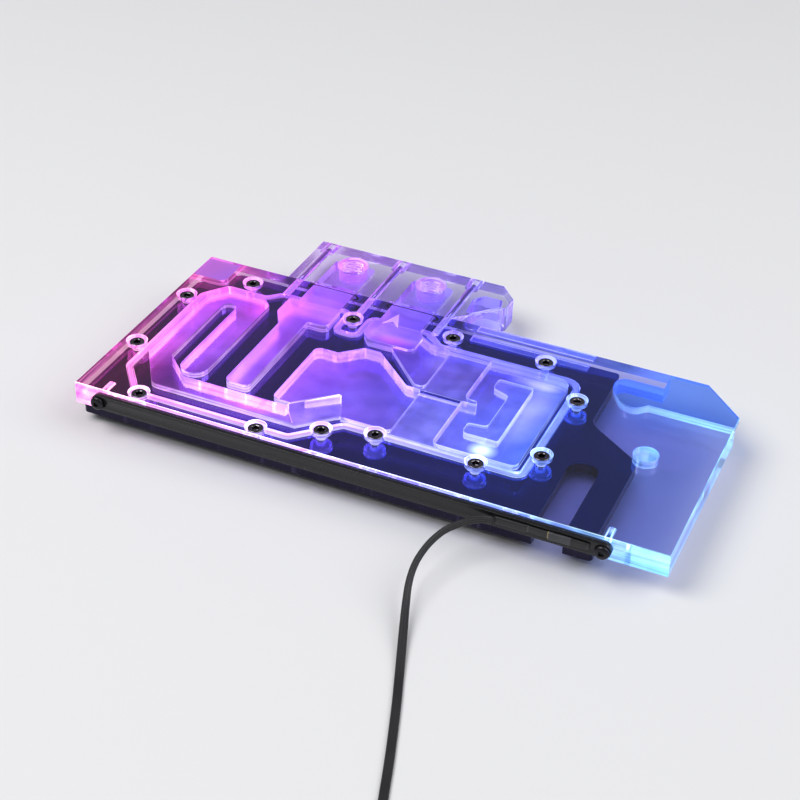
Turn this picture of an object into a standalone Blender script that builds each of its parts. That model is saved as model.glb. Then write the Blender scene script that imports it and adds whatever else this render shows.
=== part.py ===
# GPU water block: clear cover with channels milled from below, nickel-plated cold plate,
# two-port terminal block, edge light bar and its lead. Metres, +Z up.
# Plan positions are measured from the cover's front left corner: x along it, y to the back.

import bpy
import bmesh
import math
from mathutils import Vector

for old in list(bpy.data.objects):
    bpy.data.objects.remove(old, do_unlink=True)

# general clearances
seat_gap = 0.0003
thread_gap = 0.0003
corner_step = math.radians(24)

# stack, from the surface that the standoffs stand on
standoff_height = 0.0040
base_thickness = 0.0047
cover_thickness = 0.0100
base_low = standoff_height
base_top = base_low + base_thickness
cover_low = base_top + seat_gap
cover_top = cover_low + cover_thickness

# cover outline
cover_length = 0.2560
cover_width = 0.1153
cover_chamfer = 0.0176

# plan steps: the layout keeps its place on the cover, which is 256 steps long and 115.3 steps wide
along = cover_length / 256
across = cover_width / 115.3
# corner radii shrink with a smaller cover, so that neighbouring corners never run into each other
radius_share = min(1, along * 1000, across * 1000)

# depths of the milled spaces below the cover's top face
pocket_roof = 0.0028
chamber_roof = 0.0045
bridge_roof = 0.0083
passage_roof = 0.0063
port_roof = 0.0015

# left loop and the channel that leads on from it
loop_left = 12.6 * along
loop_back = 97.6 * across
loop_corner_x = 6.8 * along
loop_corner_y = 8.9 * across
loop_front_x = 26.8 * along
loop_side_y = 37.6 * across
loop_lobe_right = 42.7 * along
loop_lobe_front = 29.6 * across
loop_lobe_radius = 0.0058
island_left = 23.6 * along
island_right = 30.3 * along
island_back = 85.7 * across
channel_front = 16.2 * across
channel_back = 26.1 * across
channel_corner_x = 36.4 * along
channel_end_front = 92.5 * along
channel_end_back = 85 * along

# chamber under the inlet, with its arm
inlet_right = 73.8 * along
inlet_front = 85.6 * across
inlet_back = 100.5 * across
inlet_left = 48.6 * along
arm_left = 53.7 * along
arm_right = 64.7 * along
arm_front = 29.7 * across
arm_shoulder_y = 79.4 * across
arm_neck_y = 87.9 * across

# chamber under the outlet
outlet_left = 90 * along
outlet_front = 84.9 * across
outlet_right = 115.4 * along
outlet_neck_y = 96.2 * across

# middle and right chambers
middle_left = 76.3 * along
middle_front = 28.8 * across
middle_shoulder_y = 71.1 * across
middle_slope_x = 86.7 * along
middle_neck_x = 95.2 * along
middle_neck_y = 79.6 * across
peak_x = 101.2 * along
peak_y = 44 * across
peak_left_x = 84.8 * along
peak_right_x = 107.9 * along
chambers_back = 95.6 * across
bridge_left = 129.9 * along
bridge_right = 147.9 * along
rib_y = 62.6 * across
rib_thickness = 0.0025
rib_slope_x = 124.2 * along
rib_top_x = 105 * along
rib_top_y = 84 * across
rib_end_x = 153.5 * along
right_chamber_end = 184.5 * along
chamber_corner = 0.0030

# hanging guide in the right chamber
guide_left = 156.1 * along
guide_right = 171.7 * along
guide_front = 41.1 * across
guide_back = 83.2 * across
guide_arm = 0.0070
guide_stem = 0.0075
guide_height = 0.0034

# pockets outside the sealed area
end_pocket_front = 91.4 * across
end_pocket_back = 106.3 * across
end_pocket_left = 201.2 * along
end_pocket_lobe_x = 212.8 * along
end_pocket_lobe_y = 86.2 * across
end_pocket_lobe_radius = 0.0048
end_rim_x = 221.5 * along
corner_pocket_x = 15.4 * along
corner_pocket_y = 100 * across
blind_hole_x = 228.4 * along
blind_hole_y = 58.3 * across
blind_hole_radius = 0.0052

# seal groove and its rubber cord
groove_width = 0.0030
groove_depth = 0.0018
seal_width = 0.0024
seal_height = 0.0015
groove_left = 10.2 * along
groove_right = 187.6 * along
groove_front = 9.4 * across
groove_chambers_front = 26.4 * across
groove_back = 99.6 * across
groove_chambers_back = 97.9 * across
groove_ports_back = 105.3 * across
groove_dip_left = 76.2 * along
groove_dip_right = 86.8 * along
groove_dip_front = 88.9 * across
groove_radius = 0.0034

# cover screws
cover_screw_steps = (
    (28, 103.8), (6.2, 81.8), (6.2, 38.9), (27.2, 5.5), (81.5, 5.1), (105.6, 15.6), (126.4, 22.2),
    (81.5, 96.8), (127, 102.4), (170, 102.2), (191.7, 80.5), (191.5, 38.3), (169.8, 22.2))
cover_screw_places = [(x * along, y * across) for x, y in cover_screw_steps]
screw_head_radius = 0.0033
screw_head_height = 0.0031
screw_shank_radius = 0.0019
screw_socket = 0.0015
screw_socket_depth = 0.0018
screw_length = 0.0090
counterbore_radius = 0.0044
counterbore_depth = 0.0041
screw_hole_radius = screw_shank_radius + thread_gap

# port block
block_gap = 0.0003
block_thickness = 0.0120
block_left = 40 * along
block_right = 139.5 * along
block_depth = 0.0364
block_back = cover_width + block_gap + block_depth
block_chamfer_x = 0.0078
block_chamfer_y = 0.0088
block_slope_y = block_back - 0.48 * block_depth
block_front_right = 120.5 * along
port_places = (62.3 * along, 101.4 * along)
port_y = block_back - 0.39 * block_depth
port_radius = 0.0066
port_mouth_radius = 0.0071
port_mouth_depth = 0.0007
port_depth = 0.0105
entry_places = (63 * along, 102 * along)
entry_width = 20 * along
entry_roof = 0.0024
entry_depth = 0.0048
entry_end = block_back - 0.316 * block_depth
entry_corner = 0.0030
window_roof = 0.0020
window_corner = 0.0016

# rubber rings between block and cover
ring_cord = 0.0015
ring_half_width = 12.25 * along
ring_half_height = 0.00345

# long screws through the block
block_screw_places = (44.7 * along, 81.2 * along, 118 * along)
block_screw_depth = 0.0050
block_screw_head_radius = 0.0027
block_screw_head_height = 0.0030
block_screw_shank_radius = 0.0015
block_screw_socket = 0.0013
block_screw_length = 0.0425
block_bore_radius = 0.0032
block_bore_depth = 0.0062

# cold plate
base_left = 2 * along
base_front = 1.5 * across
base_right = 226 * along
base_back = 113.5 * across
base_step_x = 200.3 * along
base_step_y = 74 * across
base_step_front = 56 * across
base_corner_x = 17 * along
base_corner_y = 98.5 * across
base_corner = 0.0020
base_slot_x = 208 * along
base_slot_radius = 0.0063
base_slot_end = 41 * across
fin_low = 124 * along
fin_high = 156 * along
fin_pitch = 0.0014
fin_slot = 0.0007
fin_depth = 0.0022
fin_margin = 0.0022
die_x = 139 * along
die_y = 62.6 * across
die_size = 0.0340
die_height = 0.0032
pad_height = 0.0022
pad_gap = 0.0030
memory_pad_width = 0.0130
memory_pad_length = 0.0520
side_pad_width = 0.0080
side_pad_length = 0.0760
pads = (
    (die_x - die_size / 2 - pad_gap - memory_pad_width / 2, die_y, memory_pad_width, memory_pad_length),
    (die_x + die_size / 2 + pad_gap + memory_pad_width / 2, die_y, memory_pad_width, memory_pad_length),
    (die_x, 97.5 * across, die_size, memory_pad_width),
    (59 * along, 56 * across, side_pad_width, side_pad_length), (33 * along, 64 * across, side_pad_width, memory_pad_length))
standoff_radius = 0.0034
standoff_bore = 0.0013
standoff_steps = ((11, 15), (11, 90), (90, 17), (90, 107), (188, 13),
                  (188, 106), (220, 13), (220, 48))
standoff_places = [(x * along, y * across) for x, y in standoff_steps]

# edge light
bar_left = 12.8 * along
bar_right = 231 * along
bar_end = 0.0033
bar_low_drop = 0.0077
bar_high_drop = 0.0012
bar_depth = 0.0030
bar_slot_height = 0.0054
bar_slot_depth = 0.0019
bar_hole_radius = 0.0016
bar_hole_depth = 0.0085
bar_screw_radius = 0.0011
bar_screw_length = 0.0095
button_radius = 0.0030
button_height = 0.0017
button_socket = 0.0010
strip_height = 0.0048
strip_thickness = 0.0005
strip_margin = 0.0050
led_pitch = 0.0166
led_width = 0.0034
led_height = 0.0028
led_depth = 0.0007

# sleeve over the joint of strip and lead
joint_left = 188 * along
joint_right = 226.2 * along
joint_depth = 0.0016
joint_height = 0.0034
joint_drop = 0.0017

# lead: flat three-core cord, modelled here as a round tube of its width
lead_width = 0.0034
lead_sides = 2
lead_points = 40
coil_radius = 0.0204
coil_half_width = 0.0038
coil_height = 0.0034
coil_low = 0.0001
coil_sides = 24
plug_length = 0.0180
plug_width = 0.0088
plug_height = 0.0056
plug_start = 0.0168
coil_exit_turn = math.radians(288)

origin_x = cover_length / 2
block_front = cover_width + block_gap
bar_back = -seat_gap
bar_front = bar_back - bar_depth
button_front = bar_front - seat_gap - button_height
origin_y = (block_back + button_front) / 2

frame = bpy.data.objects.new("plan_frame", None)
bpy.context.scene.collection.objects.link(frame)
frame.location = (-origin_x, -origin_y, 0)


def material(name, colour, roughness, metallic=0.0, transmission=0.0, glow=0.0):
    made = bpy.data.materials.new(name)
    made.use_nodes = True
    shader = made.node_tree.nodes["Principled BSDF"]
    shader.inputs["Base Color"].default_value = (*colour, 1)
    shader.inputs["Roughness"].default_value = roughness
    shader.inputs["Metallic"].default_value = metallic
    shader.inputs["Transmission Weight"].default_value = transmission
    shader.inputs["Emission Color"].default_value = (*colour, 1)
    shader.inputs["Emission Strength"].default_value = glow
    made.diffuse_color = (*colour, 1)
    return made


def place(name, mesh, finish=None):
    """Put a mesh in the scene under the plan frame."""
    made = bpy.data.objects.new(name, mesh)
    bpy.context.scene.collection.objects.link(made)
    made.parent = frame
    if finish:
        made.data.materials.clear()
        made.data.materials.append(finish)
    return made


def smooth(made, degrees=35):
    made.data.shade_smooth()
    made.data.set_sharp_from_angle(angle=math.radians(degrees))
    return made


def outline(corners):
    """Turn (x, y) or (x, y, radius) corners into points, with an arc at each rounded corner."""
    points = []
    count = len(corners)
    for i in range(count):
        here = Vector(corners[i][:2])
        radius = corners[i][2] * radius_share if len(corners[i]) > 2 else 0
        if radius <= 0:
            points.append(here)
            continue
        back = (Vector(corners[i - 1][:2]) - here).normalized()
        ahead = (Vector(corners[(i + 1) % count][:2]) - here).normalized()
        half = back.angle(ahead) / 2
        centre = here + (back + ahead).normalized() * radius / math.sin(half)
        start = here + back * radius / math.tan(half) - centre
        turn = math.pi - 2 * half
        side = 1 if back.cross(ahead) < 0 else -1
        steps = max(1, math.ceil(turn / corner_step))
        for k in range(steps + 1):
            angle = side * turn * k / steps
            cosine, sine = math.cos(angle), math.sin(angle)
            points.append(centre + Vector((start.x * cosine - start.y * sine, start.x * sine + start.y * cosine)))
    return points


def circle(x, y, radius, sides):
    return [Vector((x + radius * math.cos(math.tau * k / sides), y + radius * math.sin(math.tau * k / sides)))
            for k in range(sides)]


def box_outline(left, right, front, back):
    return [Vector((left, front)), Vector((right, front)), Vector((right, back)), Vector((left, back))]


def prism_mesh(name, points, low, high):
    """Closed solid between two heights over a plan outline."""
    shape = bmesh.new()
    face = shape.faces.new([shape.verts.new((p.x, p.y, low)) for p in points])
    lifted = bmesh.ops.extrude_face_region(shape, geom=[face])
    for item in lifted["geom"]:
        if isinstance(item, bmesh.types.BMVert):
            item.co.z = high
    bmesh.ops.recalc_face_normals(shape, faces=shape.faces)
    mesh = bpy.data.meshes.new(name)
    shape.to_mesh(mesh)
    shape.free()
    return mesh


def join_meshes(name, meshes):
    """One mesh that holds several closed solids that don't touch."""
    shape = bmesh.new()
    for mesh in meshes:
        shape.from_mesh(mesh)
        bpy.data.meshes.remove(mesh)
    mesh = bpy.data.meshes.new(name)
    shape.to_mesh(mesh)
    shape.free()
    return mesh


def revolve_mesh(name, profile, sides, turn=0.0):
    """Closed solid from (radius, z) points listed from its low centre to its high centre."""
    shape = bmesh.new()
    rings = []
    for radius, z in profile:
        if radius == 0:
            rings.append([shape.verts.new((0, 0, z))])
        else:
            rings.append([shape.verts.new((radius * math.cos(turn + math.tau * k / sides),
                                           radius * math.sin(turn + math.tau * k / sides), z))
                          for k in range(sides)])
    for lower, upper in zip(rings, rings[1:]):
        for k in range(sides):
            n = (k + 1) % sides
            if len(lower) == 1:
                shape.faces.new((lower[0], upper[n], upper[k]))
            elif len(upper) == 1:
                shape.faces.new((lower[k], lower[n], upper[0]))
            else:
                shape.faces.new((lower[k], lower[n], upper[n], upper[k]))
    bmesh.ops.recalc_face_normals(shape, faces=shape.faces)
    mesh = bpy.data.meshes.new(name)
    shape.to_mesh(mesh)
    shape.free()
    return mesh


def band_mesh(name, points, width, low, high):
    """Closed loop wall of a given width along a closed path."""
    half = width / 2
    inner, outer = [], []
    count = len(points)
    for i in range(count):
        ahead = (points[(i + 1) % count] - points[i]).normalized()
        behind = (points[i] - points[i - 1]).normalized()
        normal = Vector((ahead.y + behind.y, -ahead.x - behind.x)).normalized()
        reach = half / normal.dot(Vector((ahead.y, -ahead.x)))
        inner.append(points[i] - normal * reach)
        outer.append(points[i] + normal * reach)
    shape = bmesh.new()
    rings = [[shape.verts.new((p.x, p.y, z)) for p in line]
             for line, z in ((inner, low), (outer, low), (outer, high), (inner, high))]
    for a in range(4):
        for i in range(count):
            n = (i + 1) % count
            shape.faces.new((rings[a][i], rings[a][n], rings[(a + 1) % 4][n], rings[(a + 1) % 4][i]))
    bmesh.ops.recalc_face_normals(shape, faces=shape.faces)
    mesh = bpy.data.meshes.new(name)
    shape.to_mesh(mesh)
    shape.free()
    return mesh


def cord_ring_mesh(name, points, half_width, half_height, sides):
    """Oval cord along a closed path of 3D points that lie in one plane."""
    count = len(points)
    plane = (points[1] - points[0]).cross(points[count // 3] - points[0]).normalized()
    shape = bmesh.new()
    rings = []
    for i in range(count):
        along = (points[(i + 1) % count] - points[i - 1]).normalized()
        side = along.cross(plane).normalized()
        angles = [math.tau * (k + 0.5) / sides for k in range(sides)]
        rings.append([shape.verts.new(points[i] + side * half_width * math.cos(angle)
                                      + plane * half_height * math.sin(angle)) for angle in angles])
    for i in range(count):
        n = (i + 1) % count
        for k in range(sides):
            m = (k + 1) % sides
            shape.faces.new((rings[i][k], rings[i][m], rings[n][m], rings[n][k]))
    bmesh.ops.recalc_face_normals(shape, faces=shape.faces)
    mesh = bpy.data.meshes.new(name)
    shape.to_mesh(mesh)
    shape.free()
    return mesh


def work(target, mesh, operation="DIFFERENCE"):
    """Cut a solid with a mesh, or join the mesh to it, by a live Boolean."""
    cutter = place("cutter_" + mesh.name, mesh)
    cutter.hide_render = True
    cutter.display_type = "WIRE"
    step = target.modifiers.new(operation.lower(), "BOOLEAN")
    step.operation = operation
    step.solver = "EXACT"
    step.object = cutter
    return target


def settled(made):
    """Mesh of an object with its modifiers applied, with the object and its cutters removed."""
    graph = bpy.context.evaluated_depsgraph_get()
    mesh = bpy.data.meshes.new_from_object(made.evaluated_get(graph))
    cutters = [step.object for step in made.modifiers]
    for used in [made] + cutters:
        bpy.data.objects.remove(used, do_unlink=True)
    return mesh


def turned_to_back(mesh, x, y, z):
    """Turn a mesh so that its +Z looks along +Y, and move it."""
    for corner in mesh.vertices:
        corner.co = (corner.co.x + x, corner.co.z + y, -corner.co.y + z)
    return mesh


def screw_mesh(name, head_radius, head_height, shank_radius, length, socket, socket_depth, sides, crown=0.0):
    """Screw with its head's underside at z = 0 and its shank below."""
    profile = [(0, -length), (shank_radius, -length), (shank_radius, 0), (head_radius, 0),
               (head_radius, head_height - crown)]
    if crown:
        profile += [(head_radius * 0.72, head_height - crown * 0.3), (socket * 1.35, head_height)]
    profile.append((0, head_height))
    made = place(name, revolve_mesh(name, profile, sides))
    hexagon = circle(0, 0, socket / math.cos(math.pi / 6), 6)
    work(made, prism_mesh(name + "_socket", hexagon, head_height - socket_depth, head_height + 0.001))
    return settled(made)


acrylic = material("clear_acrylic", (0.80, 0.72, 1.0), 0.05, transmission=0.9)
nickel = material("dark_nickel", (0.16, 0.16, 0.18), 0.12, metallic=1.0)
steel = material("black_nickel_screw", (0.22, 0.21, 0.22), 0.2, metallic=1.0)
rubber = material("black_rubber", (0.02, 0.02, 0.022), 0.6)
clear_rubber = material("pale_rubber", (0.75, 0.72, 0.85), 0.5)
bar_paint = material("black_bar", (0.015, 0.015, 0.016), 0.3)
strip_white = material("strip_white", (0.85, 0.86, 0.9), 0.5)
lead_black = material("lead_black", (0.012, 0.012, 0.014), 0.45)

groove_path = outline((
    (groove_left, groove_chambers_front - 0.0008, groove_radius),
    (loop_front_x - 0.0038, groove_front, groove_radius),
    (channel_end_front + 0.0010, groove_front, groove_radius),
    (channel_end_front + 0.0010 + groove_chambers_front - groove_front, groove_chambers_front, groove_radius),
    (groove_right, groove_chambers_front, groove_radius),
    (groove_right, groove_chambers_back, groove_radius + 0.003),
    (outlet_right + 0.0070, groove_chambers_back, groove_radius),
    (outlet_right - 0.0010, groove_ports_back, groove_radius),
    (groove_dip_right, groove_ports_back, groove_radius),
    (groove_dip_right, groove_dip_front, groove_radius),
    (groove_dip_left, groove_dip_front, groove_radius),
    (groove_dip_left, groove_ports_back, groove_radius),
    (loop_lobe_right, groove_ports_back, groove_radius),
    (loop_lobe_right - 0.0057, groove_back, groove_radius),
    (groove_left + 0.0077, groove_back, groove_radius),
    (groove_left, groove_back - 0.0105, groove_radius)))


def cut_flow_spaces(cover):
    """Chambers, channel and bridge that the coolant runs through, all open at the underside."""
    slope = (rib_top_y - rib_y) / (rib_slope_x - rib_top_x)
    half_rib = rib_thickness / 2
    below = cover_low - 0.001
    loop = outline((
        (loop_left, loop_side_y, 0.004), (loop_front_x, channel_front, 0.004),
        (channel_end_front, channel_front), (channel_end_back, channel_back),
        (channel_corner_x, channel_back, 0.002), (island_left, loop_side_y + 0.0006, 0.002),
        (island_left, island_back, 0.0033), (island_right, island_back, 0.0033),
        (island_right, loop_lobe_front, loop_lobe_radius),
        (loop_lobe_right, loop_lobe_front, loop_lobe_radius), (loop_lobe_right, loop_back - 0.006, 0.002),
        (loop_lobe_right - 0.006, loop_back, 0.002), (loop_left + loop_corner_x, loop_back, 0.003),
        (loop_left, loop_back - loop_corner_y, 0.003)))
    work(cover, prism_mesh("loop", loop, below, cover_top - chamber_roof))
    passage = outline((
        (channel_end_front - 0.003, channel_front), (channel_end_front + 0.0008, channel_front),
        (peak_right_x - 0.0026, middle_front - 0.0002), (peak_right_x + 0.0020, middle_front + 0.003),
        (peak_x + 0.0006, peak_y - 0.0006, 0.0012), (peak_left_x - 0.0004, middle_front + 0.0001),
        (channel_end_back - 0.0010, channel_back), (channel_end_back - 0.003, channel_back - 0.003)))
    work(cover, prism_mesh("passage", passage, below + 0.0001, cover_top - passage_roof))
    middle = outline((
        (middle_left, middle_front, chamber_corner), (peak_left_x, middle_front),
        (peak_x, peak_y, 0.0012), (peak_right_x, middle_front), (bridge_left, middle_front, 0.002),
        (bridge_left, rib_y - half_rib, 0.002), (rib_slope_x - half_rib, rib_y - half_rib, 0.003),
        (rib_top_x - half_rib - 0.001, middle_neck_y, 0.001), (middle_neck_x, middle_neck_y, 0.002),
        (middle_slope_x, middle_shoulder_y, 0.002), (middle_left, middle_shoulder_y, chamber_corner)))
    work(cover, prism_mesh("middle", middle, below + 0.0002, cover_top - chamber_roof))
    upper = outline((
        (rib_top_x + half_rib, rib_top_y), (rib_slope_x + half_rib * slope, rib_y + half_rib, 0.002),
        (bridge_left, rib_y + half_rib, 0.0024), (bridge_left, chambers_back, 0.004),
        (outlet_right + 0.0045, chambers_back, 0.003), (outlet_right - 0.003, outlet_neck_y + 0.004),
        (rib_top_x, outlet_neck_y)))
    work(cover, prism_mesh("upper", upper, below + 0.0003, cover_top - chamber_roof + 0.00002))
    zones = [prism_mesh("zone", box_outline(bridge_left - 0.004, bridge_right + 0.004, front + 0.0001, back - 0.0001),
                        below + 0.0004, cover_top - bridge_roof + 0.00001)
             for front, back in ((middle_front, rib_y - half_rib), (rib_y + half_rib, chambers_back))]
    work(cover, join_meshes("bridge", zones))
    right = outline((
        (bridge_right, middle_front, 0.003), (right_chamber_end, middle_front, chamber_corner),
        (right_chamber_end, chambers_back, 0.006), (bridge_right, chambers_back, 0.002),
        (bridge_right, rib_y + half_rib, 0.003), (rib_end_x, rib_y + half_rib, 0.001),
        (rib_end_x + 0.0015, rib_y - half_rib, 0.001), (bridge_right, rib_y - half_rib, 0.001)))
    work(cover, prism_mesh("right_chamber", right, below + 0.0005, cover_top - chamber_roof))
    guide = outline((
        (guide_left, guide_front, 0.0025), (guide_right, guide_front, 0.0008), (guide_right, guide_back, 0.0008),
        (guide_left, guide_back, 0.0012), (guide_left, guide_back - guide_arm, 0.0025),
        (guide_right - guide_stem, guide_back - guide_arm - 0.003, 0.002),
        (guide_right - guide_stem, guide_front + guide_arm + 0.001, 0.002),
        (guide_left, guide_front + guide_arm, 0.0012)))
    roof = cover_top - chamber_roof
    work(cover, prism_mesh("guide", guide, roof - guide_height, roof + 0.001), "UNION")


def cut_port_chambers(cover):
    """Tall chambers under the two ports, and the ways in from the cover's back edge."""
    below = cover_low - 0.001
    inlet = outline((
        (arm_left, arm_front, 0.0025), (arm_right, arm_front, 0.0025), (arm_right, inlet_front, 0.0006),
        (inlet_right, inlet_front, 0.003), (inlet_right, inlet_back, 0.001), (inlet_left, inlet_back, 0.002),
        (inlet_left, arm_neck_y, 0.002), (arm_left, arm_shoulder_y, 0.002)))
    work(cover, prism_mesh("inlet", inlet, below - 0.0001, cover_top - port_roof))
    outlet = outline((
        (outlet_left, outlet_front + 0.005, 0.002), (outlet_left + 0.0040, outlet_front, 0.002),
        (outlet_right, outlet_front, 0.003), (outlet_right, outlet_neck_y, 0.002),
        (outlet_right - 0.003, inlet_back, 0.001), (outlet_left, inlet_back, 0.002)))
    work(cover, prism_mesh("outlet", outlet, below - 0.0002, cover_top - port_roof))
    ways = [prism_mesh("way", box_outline(x - entry_width / 2, x + entry_width / 2, inlet_back - 0.004, cover_width + 0.001),
                       entry_high - entry_depth, entry_high) for x in entry_places]
    work(cover, join_meshes("cover_entries", ways))


def cut_outer_pockets(cover):
    """Pockets outside the sealed area, open at the underside."""
    below = cover_low - 0.0013
    roof = cover_top - pocket_roof
    corner = outline((
        (-0.001, corner_pocket_y), (corner_pocket_x, corner_pocket_y, 0.0035),
        (corner_pocket_x, cover_width + 0.001), (-0.001, cover_width + 0.001)))
    end = outline((
        (end_pocket_left, end_pocket_back, 0.005),
        (end_pocket_left + 0.0002, end_pocket_front + 0.4 * (end_pocket_back - end_pocket_front), 0.008),
        (end_pocket_lobe_x - 0.0050, end_pocket_lobe_y + 0.0025, end_pocket_lobe_radius),
        (end_pocket_lobe_x + 0.0015, end_pocket_lobe_y, end_pocket_lobe_radius),
        (end_pocket_lobe_x + 0.0065, end_pocket_front), (cover_length + 0.001, end_pocket_front),
        (cover_length + 0.001, cover_width + 0.001), (end_rim_x, cover_width + 0.001),
        (end_rim_x, end_pocket_back)))
    hole = circle(blind_hole_x, blind_hole_y, blind_hole_radius, 20)
    pockets = [prism_mesh("pocket", points, below, roof) for points in (corner, end, hole)]
    work(cover, join_meshes("pockets", pockets))


def cut_screw_holes(cover):
    """Counterbored holes from the top, and tapped holes in the back and front edges."""
    bores = [prism_mesh("bore", circle(x, y, counterbore_radius, 16), cover_top - counterbore_depth, cover_top + 0.001)
             for x, y in cover_screw_places]
    work(cover, join_meshes("counterbores", bores))
    holes = [prism_mesh("hole", circle(x, y, screw_hole_radius, 12), cover_low - 0.0015, cover_top - 0.001)
             for x, y in cover_screw_places]
    work(cover, join_meshes("screw_holes", holes))
    tip = block_back - block_bore_depth - block_screw_length - 0.001
    edge = []
    for x in block_screw_places:
        drill = revolve_mesh("drill", [(0, 0), (block_screw_shank_radius + thread_gap, 0.001),
                                       (block_screw_shank_radius + thread_gap, cover_width - tip + 0.001),
                                       (0, cover_width - tip + 0.001)], 10)
        edge.append(turned_to_back(drill, x, tip, cover_top - block_screw_depth))
    for x in (bar_left, bar_right):
        drill = revolve_mesh("drill", [(0, -0.001), (bar_hole_radius, -0.001), (bar_hole_radius, bar_hole_depth),
                                       (0, bar_hole_depth + 0.0006)], 12)
        edge.append(turned_to_back(drill, x, 0, bar_middle))
    work(cover, join_meshes("edge_holes", edge))


bar_low = cover_top - bar_low_drop
bar_high = cover_top - bar_high_drop
bar_middle = (bar_low + bar_high) / 2


def make_top_cover():
    plate = [Vector(p) for p in ((0, 0), (cover_length, 0), (cover_length, cover_width - cover_chamfer),
                                 (cover_length - cover_chamfer, cover_width), (0, cover_width))]
    cover = place("top_cover", prism_mesh("top_cover", plate, cover_low, cover_top), acrylic)
    cut_flow_spaces(cover)
    cut_port_chambers(cover)
    cut_outer_pockets(cover)
    groove = band_mesh("seal_groove", groove_path, groove_width, cover_low - 0.0012, cover_low + groove_depth)
    work(cover, groove)
    cut_screw_holes(cover)
    return cover


def make_seals():
    """Rubber cord in the cover's groove, and an obround ring at each way in."""
    middle = base_top + seat_gap + seal_height / 2
    loop = [Vector((p.x, p.y, middle)) for p in groove_path]
    cord = cord_ring_mesh("cover_seal", loop, seal_width / 2, seal_height / 2, 6)
    smooth(place("cover_seal", cord, clear_rubber), 70)
    for name, x in zip(("port_seal_in", "port_seal_out"), entry_places):
        path = [Vector((p.x, ring_middle_y, p.y)) for p in obround(x, ring_half_width, ring_half_height)]
        smooth(place(name, cord_ring_mesh(name, path, ring_cord / 2, ring_cord / 2, 6), rubber), 70)


ring_middle_y = cover_width + seat_gap + ring_cord / 2
entry_high = cover_top - entry_roof


def obround(x, half_width, half_height):
    """Outline of a way in, as (x, z) points round its middle."""
    middle = entry_high - entry_depth / 2
    points = []
    for k in range(16):
        angle = math.pi * (k % 8) / 7 - math.pi / 2 + (math.pi if k > 7 else 0)
        side = half_width - half_height if k < 8 else half_height - half_width
        points.append(Vector((x + side + half_height * math.cos(angle), middle + half_height * math.sin(angle))))
    return points


def edge_prism(name, points, near, far):
    """Closed solid along Y over an outline of (x, z) points."""
    mesh = prism_mesh(name, points, near, far)
    for corner in mesh.vertices:
        corner.co = (corner.co.x, corner.co.z, corner.co.y)
    mesh.flip_normals()
    return mesh


def make_port_block():
    block_low = cover_top - block_thickness
    plan = [Vector(p) for p in (
        (block_left, block_front), (block_front_right, block_front), (block_right, block_slope_y),
        (block_right, block_back - block_chamfer_y), (block_right - block_chamfer_x, block_back),
        (block_left, block_back))]
    block = place("port_block", prism_mesh("port_block", plan, block_low, cover_top), acrylic)
    ways = []
    bores = []
    recesses = []
    for x, port_x in zip(entry_places, port_places):
        left = x - entry_width / 2
        right = x + entry_width / 2
        plan = outline(((left, block_front - 0.001), (right, block_front - 0.001),
                        (right, entry_end, entry_corner), (left, entry_end, entry_corner)))
        ways.append(prism_mesh("way", plan, entry_high - entry_depth, entry_high))
        bore = revolve_mesh("bore", [
            (0, cover_top - port_depth), (port_radius, cover_top - port_depth + 0.001),
            (port_radius, cover_top - port_mouth_depth), (port_mouth_radius, cover_top),
            (port_mouth_radius, cover_top + 0.001), (0, cover_top + 0.001)], 22)
        for corner in bore.vertices:
            corner.co.x += port_x
            corner.co.y += port_y
        bores.append(bore)
        reach = ring_cord / 2 + seat_gap
        edge = obround(x, ring_half_width + reach, ring_half_height + reach)
        recesses.append(edge_prism("recess", edge, block_front - 0.001, ring_middle_y + reach))
    work(block, join_meshes("block_entries", ways))
    work(block, join_meshes("port_bores", bores))
    work(block, join_meshes("ring_recesses", recesses))
    window = outline((
        (block_front_right + 0.0035, block_front + 0.19 * block_depth, window_corner),
        (block_right - 0.0030, block_slope_y + 0.0010, window_corner),
        (block_right - 0.0042, block_back - 0.30 * block_depth, window_corner),
        (block_front_right + 0.0060, block_back - 0.30 * block_depth, window_corner),
        (block_front_right + 0.0022, block_back - 0.44 * block_depth, window_corner)))
    work(block, prism_mesh("window", window, block_low - 0.001, cover_top - window_roof))
    drills = []
    for x in block_screw_places:
        drill = revolve_mesh("drill", [
            (0, -0.001), (block_screw_shank_radius + thread_gap, -0.001),
            (block_screw_shank_radius + thread_gap, block_back - block_bore_depth - block_front),
            (block_bore_radius, block_back - block_bore_depth - block_front),
            (block_bore_radius, block_back - block_front + 0.001), (0, block_back - block_front + 0.001)], 14)
        drills.append(turned_to_back(drill, x, block_front, cover_top - block_screw_depth))
    work(block, join_meshes("block_screw_bores", drills))
    return block


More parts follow.
